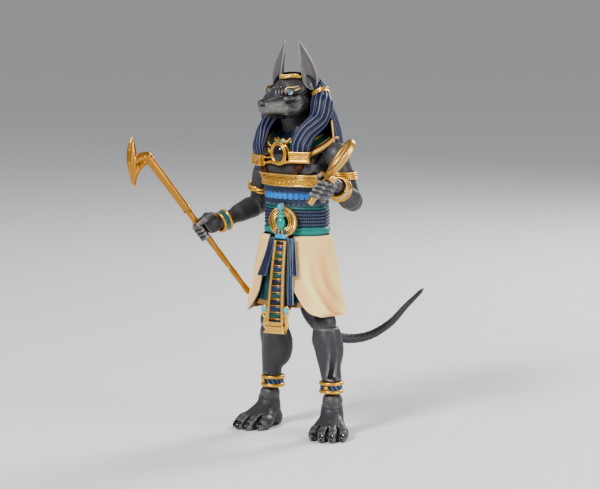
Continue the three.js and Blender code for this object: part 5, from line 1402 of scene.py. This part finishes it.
def build_harness():
    height = BAND_TOP - BAND_BOTTOM
    profile = half_round(0.85, 0.45, 0.5, 0.45, 6)
    profile += [(0.95, z) for z in np.linspace(MARKS_LOW, MARKS_HIGH, 9)]
    for middle in (3.35, 4.05, 4.75):
        profile += half_round(0.9, middle, 0.42, 0.33, 6)
    profile += half_round(1.25, 5.65, 0.6, 0.5, 7)
    # The band leans in towards its top.
    profile = [(0, 0), *[(out + 1.7 - 2.2 * z / height, z) for out, z in profile], (0, height)]

    def marks(s, a):
        if not MARKS_LOW < s < MARKS_HIGH:
            return 0
        row = 1 if s > 2 else 0
        stroke = np.sin(46 * a + 2.4 * row)
        return 0.24 * np.sign(stroke) * np.abs(stroke) ** 0.4 * (0.6 + 0.4 * np.sin(7 * a + 3 * row))

    band = belt(cuff(chest_plain, v(0, 1.5, BAND_BOTTOM), (0, 0, 1), profile, 320, (0, 1, 0), 0.55, marks))
    straps = []
    for k in (1, -1):
        path = [(9.6, -14.2, -1), (11.2, -14.3, 2), (13.4, -12.9, 5)]
        path = [(k * x, y, BAND_TOP + z) for x, y, z in path]
        straps.append(lofted(swept(curve(path, 30), STRAP_SECTION, (0, -1, 0))))
    straps = bundle(*straps)
    tone = np.concatenate([plain(band, GOLD_TONE), plain(straps, "6a4432")])
    gilded("harness_gold", placed(bundle(band, straps), chest_out), "chest_harness", tone, 0.6, 0.12)


# The corset, the sash and the skirts go round the waist.
waist_out, _ = turned(TURN * 0.6, (WAIST[0], WAIST[1], 0))
SCALE_ROWS, SCALES_ROUND = 3, 36


def build_corset():
    rows, cols = 100, 460
    top = BAND_BOTTOM - 0.3
    z = np.linspace(CORSET_BOTTOM, top, rows)[:, None]
    a = around(cols)
    t = (z - CORSET_BOTTOM) / (top - CORSET_BOTTOM)
    row_high = (top - CORSET_BOTTOM) / SCALE_ROWS
    best = np.full((rows, cols), -1.0)
    which = np.zeros((rows, cols), int)
    chip = np.zeros((rows, cols))
    for k in range(SCALE_ROWS + 1):
        # Scales of row k hang from its top, and the row above lies over them.
        place = a / (2 * math.pi) * SCALES_ROUND + 0.5 * (k % 2)
        x = (place % 1 - 0.5) * 2
        y = (z - CORSET_BOTTOM - (k - 0.12) * row_high) / (row_high * 1.15)
        tip = 1 - ((np.abs(x) / 0.94) ** 3.2 + (np.clip(0.42 - y, 0, 1) / 0.42) ** 2.4)
        tip = np.clip(tip, -1, 1)
        on = (tip > 0) & (y > 0) & (y < 1.25)
        h = np.where(on, 0.62 * (1 - y * 0.75) + 0.18 * np.clip(tip * 3, 0, 1) - 0.1, -1)
        over = h > best
        best = np.where(over, h, best)
        which = np.where(over, k, which)
        chip = np.where(over, np.sin(np.floor(place) * 12.9898 + k * 78.2), chip)
    h = np.clip(best, 0.0, 0.75)
    rx, ry = lerp(16.6, 17.8, t) + h, lerp(12.8, 13.7, t) + h
    mesh = placed(lofted(np.stack([rx * np.cos(a), ry * np.sin(a), z + 0 * h], -1)), waist_out)
    palette = np.array([rgb("2b3750"), rgb("2a74be"), rgb("25304a"), rgb("25304a")])
    tone = palette[which] * (1 + 0.22 * chip[..., None])
    tone = np.where((best < 0.02)[..., None], rgb("141a2c"), tone)
    piece("corset_scales", mesh, DULL, ["scale_corset"], flat_tone(tone, 2), 0.5)


ROPES_LOW, ROPE_HIGH, ROPES = 103.4, 1.64, 5
SASH_RX, SASH_RY = 16.95, 12.95


def build_sash():
    rows, cols = 118, 480
    top, upper = CORSET_BOTTOM - 0.3, ROPES_LOW + ROPES * ROPE_HIGH
    z = np.linspace(SASH_BOTTOM, top, rows)[:, None]
    a = around(cols)[None]
    sway = 0.5 * np.sin(a * 2 + 0.6) + 0.25 * np.sin(a * 5)
    folds = 0.08 * np.sin(z * 3.2 + 3 * sway)
    # Folds of the cloth above and below the ropes: height, middle, spread.
    for high, middle, wide in ((0.95, 100.4 + 0.35 * sway, 1.6), (0.7, 102.2 - 0.3 * sway, 0.7),
                               (0.45, upper + 0.7, 0.35), (0.3, top - 0.3, 0.3)):
        folds = folds + high * np.exp(-((z - middle) ** 2) / wide)
    in_ropes = (z > ROPES_LOW - 0.05) & (z < upper)
    place = (z - ROPES_LOW) / ROPE_HIGH
    bar = np.sqrt(np.clip(1 - (2 * (place % 1) - 1) ** 2, 0, 1))
    lean = np.where(np.floor(place) % 2 == 0, 1, -1)
    twist = 0.5 + 0.5 * np.sin(92 * a + lean * (place % 1 - 0.5) * 3.4)
    h = np.where(in_ropes, bar * (0.72 + 0.2 * twist) - 0.1, np.clip(folds, 0, 1.25))
    outer = np.stack([(SASH_RX + h) * np.cos(a), (SASH_RY + h) * np.sin(a), z + 0 * a], -1)
    rope_tone = fade("0a0d1c", "465172", (bar * twist) ** 1.2)
    cloth_tone = fade("0c3c3c", "1f7f78", smooth(h))
    tone = flat_tone(np.where(in_ropes[..., None], rope_tone, cloth_tone), 2)
    piece("sash_ropes", placed(lofted(outer), waist_out), DULL, ["sash"], tone, 0.3)


buckle_out, _ = turned(-4, (2.9, -13.6, 106))
WINGS_IN, WINGS_MIDDLE, WINGS_OUT = 3.6, 5.6, 7.35
WING_STRETCH = 1.1
STRIPES = ("24407c", "c7a050", "1c2338", "c7a050", "24407c")


def wing_ring(r, front, a):
    """A ring of the winged ring's section: its radius and how far in front it is."""
    return np.stack([r * WING_STRETCH * np.cos(a), -front + 0 * a, r * np.sin(a)], -1)


def build_buckle():
    a, rows = around(240), 26
    # The winged ring: two rows of feathers, in a flat section.
    rings = [wing_ring(WINGS_IN, -1.0, a)]
    for t in np.linspace(0, 1, rows):
        r, front = lerp(WINGS_IN, WINGS_OUT, t), 1.45 + 0.25 * math.sin(math.pi * t) - 0.35 * t
        feathers = 0.14 * np.sin((52 if r > WINGS_MIDDLE else 34) * a)
        line = -0.35 * np.exp(-((r - WINGS_MIDDLE) / 0.16) ** 2)
        wide = r + (0.16 * np.sin(52 * a) if r > 7.2 else 0)
        rings.append(wing_ring(wide, front + feathers + line, a))
    rings.append(wing_ring(WINGS_OUT + 0.16 * np.sin(52 * a), -1.0, a))
    lines = []
    for r in (4.5, WINGS_MIDDLE, 6.5):
        lines.append(belt(np.stack([wing_ring(r + x, 1.62 + y, a) for x, y in circle(8, 0.22)])))
    parts = [hoop((0, -1.6, 7.4), FRONT, 1.75, 1.75, 0.35)]
    for k in (-1, 1):
        claw = [(k * 1.2, -1.2, -3.6), (k * 3.2, -1.0, -4.4), (k * 3.0, -1.0, -7.2)]
        parts.append(chain(claw, [0.6, 0.6, 0.6]))
        parts.append(disc((k * 2.6, -1.5, -7.2), (1, 0, 0), 1.35, 0.3, 0.15))
    legs = nets(blend(0.3, *parts), (-5, -4, -9.5), (5, 1.5, 10.5), 0.28)
    mesh = placed(bundle(belt(np.array(rings)), *lines, legs), buckle_out)
    gilded("buckle_gold", mesh, "scarab_buckle", "e2b868", 0.4, 0.15)
    body, chest, face = ((-0.9, 2.5, 2.3, 3.6), (3.0, 2.1, 1.9, 1.5), (5.0, 1.3, 1.3, 1.1))
    beetle = blend(0.35, egg((0, -1.8, body[0]), *body[1:]),
                   *[egg((0, -1.9, z), *radii) for z, *radii in (chest, face)])
    wing_line = mirrored(chain([(0, -4.3, 1.75), (1.6, -3.6, 1.9), (2.7, -1.8, 2.0)], [0.28, 0.28, 0.28]))
    beetle = carve(0.25, beetle, bone((0, -4.3, 1.6), (0, -4.3, -4.6), 0.28, 0.28), wing_line)
    sun = egg((0, -2.3, 7.4), 1.85, 1.75, 1.85)
    roller = bone((-1.9, -2.0, -7.2), (1.9, -2.0, -7.2), 1.4, 1.4)
    mesh = nets(blend(0.05, beetle, sun, roller), (-4, -5, -9), (4, 1, 10), 0.25, 3)
    z = mesh[0][:, 2]
    tone = fade("1f8f80", "1c9cc4", (z > 5.7) | (z < -5.6))
    piece("buckle_enamel", placed(mesh, buckle_out), ENAMEL, ["scarab_buckle"], tone, 0.45)
    bars = [brick_mesh((x, -1.5, -5.1), (0.42, 1.15, 1.15)) for x in np.linspace(-2.1, 2.1, 5)]
    tone = np.concatenate([plain(bar, colour) for bar, colour in zip(bars, STRIPES)])
    mesh = placed(bundle(*bars), buckle_out)
    piece("buckle_stripes", mesh, ENAMEL_SOFT, ["scarab_buckle"], tone, 0.1)


SKIRT = v(1, 1.5, 0)
KILT = [
    # height, half width, half depth, left edge, right edge
    (SASH_BOTTOM - 0.3, 18.4, 14.2, 6.6, -8),
    (96.4, 19.6, 14.9, 6.5, -8.4),
    (87, 21.5, 16, 6.2, -10.2),
    (76.5, 23.3, 17.3, 7, -12.2),
    (69, 24.6, 18.2, 10.8, -14.6),
    (62, 26.3, 19.5, 16.2, -19.8),
    (59.2, 26.6, 19.8, 21.4, -23.4),
]
KILT_THICK, UNDER_THICK = 1.3, 1.1
UNDER_SKIRT = [
    # height, half width, half depth
    (SASH_BOTTOM - 0.3, 16.2, 12),
    (88, 19, 13.6),
    (76, 21.2, 14.7),
    (65.6, 22.2, 15.1),
    (63.4, 22.9, 15.8),
]
UNDER_SPREAD = 56
HEM_TOP = 65.7
DRAPES = [
    # a long fold that runs down and away from a front edge: how far round, half width, height
    (0.30, 0.11, 0.75),
    (0.62, 0.13, 0.55),
    (1.05, 0.16, 0.45),
    (1.5, 0.16, 0.3),
]


def bump(x, middle, wide):
    return np.exp(-(((x - middle) / wide) ** 2))


def skirt_levels(table, rows, fine):
    """The columns of a table of heights, read at evenly spaced rows of a smooth curve."""
    levels = curve(table, fine)
    t = np.linspace(0, 1, rows)
    return [np.interp(t, np.linspace(0, 1, fine), column)[:, None] for column in levels.T]


def skirt_grid(rx, ry, a, z):
    return np.stack([SKIRT[0] + rx * np.sin(a), SKIRT[1] - ry * np.cos(a), z + 0 * a], -1)


def build_kilt():
    rows, cols = 70, 260
    z, rx, ry, left, right = skirt_levels(KILT, rows, 300)
    start = np.arcsin(np.clip(left / rx, -1, 1))
    stop = 2 * math.pi + np.arcsin(np.clip(right / rx, -1, 1))
    a = lerp(start, stop, np.linspace(0, 1, cols)[None])
    flare = 6 * np.linspace(0, 1, rows)[:, None]
    fold = 0.1 * flare * np.cos(7 * a + 0.05 * (z - 60))
    fold = fold + 0.35 * smooth((96 - z) / 12) * np.sin(3 * a + 0.03 * (z - 60) + 0.8) ** 3
    for u in (a - start, stop - a):
        for k, (at, wide, high) in enumerate(DRAPES):
            centre = at + 0.012 * (96 - z) * (0.35 + 0.25 * k)
            drape = bump(u, centre, wide) - 0.6 * bump(u, centre + wide * 1.5, wide)
            fold = fold + high * smooth((94 - z) / 20) * drape
    hem = -0.25 * smooth((61.0 - z) / 1.5) + 0.2 * np.exp(-((z - 60.8) ** 2) / 0.5)
    back = np.where(np.cos(a) < 0, 1 + 0.023 * flare * np.cos(a) ** 2, 1)
    roll = 0.35 * (bump(a, start, 0.035) + bump(a, stop, 0.035))
    outside = fold + hem + roll * smooth((97 - z) / 4) - 0.12
    lining = 0.7 * fold - KILT_THICK
    layers = [skirt_grid(rx + grow, ry * back + grow, a, z) for grow in (outside, lining)]
    # The hollows of the folds are painted a darker peach as painted shade, and the raised folds paler as a
    # painted highlight.
    depth = smooth((outside - fold.min()) / (fold.max() - fold.min()))
    tone = fade("e6b070", "ffe69e", np.clip(depth * 1.25, 0, 1))
    # The inside of the cloth is painted a greyish pink as painted shade.
    tone = flat_tone(tone, rows * cols, "b98f78")
    piece("kilt_cloth", slab(*layers), CLOTH, ["kilt"], tone, 1.2)


def build_under_skirt():
    rows, cols = 50, 150
    z, rx, ry = skirt_levels(UNDER_SKIRT, rows, 200)
    a = math.radians(UNDER_SPREAD) * np.linspace(-1, 1, cols)[None]
    pleat = np.abs(np.sin(11 * a)) ** 0.8 * smooth((97 - z) / 10)
    rise = 0.32 * pleat - 0.3 + 0.32 * smooth((HEM_TOP - z) / 0.25)
    layers = [skirt_grid(rx + grow, ry + grow, a, z) for grow in (rise, -UNDER_THICK)]
    tone = np.where((z < HEM_TOP)[..., None], rgb("8f6f3c"), fade("0a2026", "174650", pleat))
    tone = flat_tone(tone, rows * cols, "0c2228")
    piece("under_skirt_cloth", slab(*layers), DULL, ["under_skirt"], tone, 0.5)


# The apron: a ladder of gold with inlays, on a base with a bead, a row of leaves and two serpents.
APRON_TOP, APRON_FOOT = v(3.2, -16.6, 96.9), v(3.1, -21.4, 56.3)
APRON_TURN = 3
ACROSS = v(math.cos(math.radians(APRON_TURN)), math.sin(math.radians(APRON_TURN)), 0)
OUTWARD = v(ACROSS[1], -ACROSS[0], 0)
foot_out, _ = turned(APRON_TURN, APRON_FOOT)
RAIL_SECTION = [
    (-0.6, -1), (-0.6, 0.75), (-0.42, 0.98), (-0.1, 1.0), (0.0, 0.84),
    (0.1, 1.0), (0.42, 0.98), (0.6, 0.75), (0.6, -1),
]
RUNGS = 12
APRON_LENGTH = 40.8
INLAY_TONES = ("1c1c2e", "1b3558", "164a42")
# The base: middle (y, z), half sizes and rounding.
APRON_BASE = [
    (0, -2.9, (5.2, 1.4, 1.5), 0.3),
    (-0.1, -4.5, (5.75, 1.75, 0.6), 0.3),
    (-0.15, -0.75, (4.9, 1.6, 0.55), 0.3),
    (-0.1, -1.75, (5.0, 1.55, 0.3), 0.2),
    (-0.1, -3.6, (5.45, 1.6, 0.25), 0.2),
]
SERPENT = [
    (5, 0.9, -3.8), (6.0, 0.6, -2.0), (6.3, 0.5, -0.4), (5.7, 0.4, 1.4), (6.1, 0.3, 2.6), (7.1, 0.2, 3.4),
]


def apron_at(s):
    return lerp(APRON_TOP, APRON_FOOT, s) + OUTWARD * 0.9 * math.sin(math.pi * s)


def apron_width(s):
    return lerp(6.3, 9.2, s)


def rung_at(i):
    return (i + 1) / 12.4 - 0.02


def build_apron():
    shares = np.linspace(0, 1, 60)
    middle, width = np.array([apron_at(s) for s in shares]), apron_width(shares)[:, None]
    parts = []
    for k in (1, -1):
        parts.append(lofted(swept(middle + ACROSS * k * (width / 2 - 0.6), RAIL_SECTION, OUTWARD)))
    turn = lambda p: p @ np.stack([ACROSS, OUTWARD, unit(APRON_TOP - APRON_FOOT)])
    for s in [rung_at(i) for i in range(RUNGS)]:
        half = (apron_width(s) / 2 - 1.1, 0.5, 0.32)
        parts.append(brick_mesh(apron_at(s) + OUTWARD * 0.55, half, turn, 0.12))
    side = ACROSS * (width - 0.7) / 2
    sheet = lambda out: np.stack([middle + k * side + OUTWARD * out for k in (-1, 1)], 1)
    parts.append(slab(sheet(0.5), sheet(-0.6)))
    base = blend(0.12, *[brick((0, y, z), half, r) for y, z, half, r in APRON_BASE])
    beads = [egg((x, -1.2, 0.25), 0.62, 0.75, 0.62) for x in np.linspace(-4.3, 4.3, 8)]
    leaves = [egg((x, -1.55, -2.75), 0.42, 0.3, 0.62) for x in np.linspace(-4.4, 4.4, 9)]
    serpents = []
    for k in (1, -1):
        serpents.append(chain([(k * x, y, z) for x, y, z in SERPENT], [0.7, 0.95, 1.1, 0.95, 0.75, 0.45]))
        serpents.append(brick((k * 5.2, 0.55, 3.6), (0.55, 0.5, 1.6), 0.3))
        serpents.append(brick((k * 6.2, 0.5, 4.45), (1.45, 0.6, 0.35), 0.2))
        serpents.append(hoop((k * 6.3, 0.0, 6.7), FRONT, 1.35, 1.65, 0.4))
    block = nets(blend(0.25, base, *beads, *leaves, *serpents), (-9.4, -2.9, -6), (9.4, 2.9, 9.6), 0.27, 3)
    gilded("apron_gold", bundle(*parts, placed(block, foot_out)), "apron_panel", "dcae5c", 0.3, 0.3)
    cells, tones = [], []
    for i in range(RUNGS + 1):
        low, high = rung_at(i - 1) if i else 0.0, min(rung_at(i), 1.0)
        s, half = (low + high) / 2, (high - low) * APRON_LENGTH / 2 - 0.32
        if half < 0.3:
            continue
        size = (apron_width(s) / 2 - 1.3, 0.25, half)
        cells.append(brick_mesh(apron_at(s) + OUTWARD * 0.42, size, turn, 0.2))
        tones.append(plain(cells[-1], INLAY_TONES[i % 3]))
    tone = np.concatenate(tones)
    piece("apron_inlays", bundle(*cells), ENAMEL_SOFT, ["apron_panel"], tone, 0.1)
    discs = bundle(*[ball((k * 6.3, -0.5, 6.7), 1.25, 0.85, 1.5) for k in (1, -1)])
    piece("apron_discs", placed(discs, foot_out), ENAMEL, ["apron_panel"], "35b3d6", 0)


SASH_ENDS = {
    # each ribbon: path, widths, thickness, across, pleats, stitching, colour
    "left": [
        (
            [(5.95, -15.0, 98.2), (6.0, -15.6, 90), (5.95, -16.6, 78), (6.1, -16.6, 64.8)],
            [1.8, 2.2, 2.5, 2.9], 1.15, (1, 0, 0), 1, 0.12, "36405c",
        ),
        (
            [(8.6, -14.8, 98.2), (8.7, -15.2, 90), (8.75, -16.1, 78), (8.95, -16.0, 64.8)],
            [1.7, 2.1, 2.4, 2.7], 1.1, (1, 0, 0), 2, 0.0, "20385c",
        ),
        (
            [(8.8, -14.4, 98.2), (9.6, -15, 90), (10.6, -16, 79.6)],
            [2.5, 2.9, 3.5], 0.95, (0.970, 0.2425, 0), 2, 0.05, "202842",
        ),
    ],
    "right": [
        (
            [(-2.4, -14.9, 98.2), (-4.6, -15.3, 90), (-8.4, -16, 78.6)],
            [3.5, 4.5, 5.5], 1.05, (0.9874, -0.158, 0), 3, 0.06, "232b48",
        ),
    ],
}


def ribbon(path, widths, thick, across, pleats, stitching, colour):
    """A pleated ribbon and its colours."""
    rows, cols = 50, 40
    path, across = curve(path, rows), v(*across)
    out = v(across[1], -across[0], 0)
    x = np.linspace(-1, 1, cols)
    ridge = np.abs(np.cos(x * math.pi / 2 * pleats)) ** 0.6
    stitch = stitching * np.sin(np.linspace(0, 150, rows))[:, None] * np.sin(x * 40)[None]
    lift = thick / 2 - 0.34 * (1 - ridge)[None] + stitch
    flat = path[:, None] + across * (x[None] * spread(widths, rows)[:, None] / 2)[..., None]
    shade = np.concatenate([np.tile(ridge, rows), np.zeros(rows * cols)])
    mesh = slab(flat + out * lift[..., None], flat - out * thick / 2)
    return mesh, fade("12182c", colour, 0.3 + 0.7 * shade)


def build_sash_ends():
    for side, ribbons in SASH_ENDS.items():
        meshes, tones = zip(*[ribbon(*values) for values in ribbons])
        node = f"{side}_sash_end"
        piece(f"{side}_sash_cloth", bundle(*meshes), DULL, [node], np.concatenate(tones), 0.5)


build_head()
build_body()
for side in SIDES:
    build_anklet(side)
    build_foot(side)
    build_hand(side)
for side in SIDES:
    build_armlet(side)
    build_bracelet(side)
build_tail()
build_sceptre()
build_ankh()
build_circlet()
build_wig()
build_collar()
build_pectoral()
build_harness()
build_corset()
build_sash()
build_buckle()
build_kilt()
build_under_skirt()
build_apron()
build_sash_ends()

# Floor, lamps and camera. The floor and lamps are placed in metres of the shared frame, the camera in
# millimetres of the figure's own.
FLOOR_HALF = 30.0
pale = bpy.data.materials.new("pale_floor")
pale.use_nodes = True
shader = next(n for n in pale.node_tree.nodes if n.type == "BSDF_PRINCIPLED")
shader.inputs["Base Color"].default_value = (0.82, 0.82, 0.83, 1)
shader.inputs["Roughness"].default_value = 0.6
data = bpy.data.meshes.new("floor")
FLOOR_CORNERS = [(x * FLOOR_HALF, y * FLOOR_HALF, 0) for x, y in ((-1, -1), (1, -1), (1, 1), (-1, 1))]
data.from_pydata(FLOOR_CORNERS, [], [(0, 1, 2, 3)])
data.materials.append(pale)
floor = bpy.data.objects.new("floor", data)
bpy.context.scene.collection.objects.link(floor)

world = bpy.data.worlds.new("studio")
world.use_nodes = True
world.node_tree.nodes["Background"].inputs["Color"].default_value = (0.78, 0.79, 0.81, 1)
world.node_tree.nodes["Background"].inputs["Strength"].default_value = 0.42
bpy.context.scene.world = world

AZ, EL, AWAY = math.radians(32), math.radians(7), 1200
RIGHT = v(math.cos(AZ), math.sin(AZ), 0)
NEAR = v(math.sin(AZ), -math.cos(AZ), 0)
BACK = NEAR * math.cos(EL) + v(0, 0, math.sin(EL))
UP = np.cross(BACK, RIGHT)
AIM = v(0, 0, 100) + RIGHT * 3.5 - UP * 7


def look_from(place, target):
    return (Vector(target) - Vector(place)).to_track_quat("-Z", "Y").to_euler()


camera = bpy.data.objects.new("camera", bpy.data.cameras.new("camera"))
bpy.context.scene.collection.objects.link(camera)
aim = Vector((AIM + SHIFT) / 1000)
camera.location = Vector((AIM + BACK * AWAY + SHIFT) / 1000)
camera.rotation_euler = look_from(camera.location, aim)
camera.data.lens = 144
camera.data.sensor_width = 36
camera.data.clip_start, camera.data.clip_end = 0.01, 100
bpy.context.scene.camera = camera
bpy.context.scene.view_settings.look = "AgX - Medium High Contrast"

LAMP_BASE, LAMP_AIM = 0.1, (0, 0, 0.11)


def lamp(name, right, near, up, size, watts):
    light = bpy.data.lights.new(name, "AREA")
    light.shape = "DISK"
    light.size, light.energy = size, watts
    obj = bpy.data.objects.new(name, light)
    bpy.context.scene.collection.objects.link(obj)
    obj.location = Vector(v(0, 0, LAMP_BASE + up) + RIGHT * right + NEAR * near)
    obj.rotation_euler = look_from(obj.location, LAMP_AIM)


lamp("key", -0.55, 0.75, 0.75, 0.3, 12)
lamp("fill", 0.8, 0.55, 0.25, 0.5, 4.5)
lamp("rim", 0.6, -0.7, 0.6, 0.35, 8)
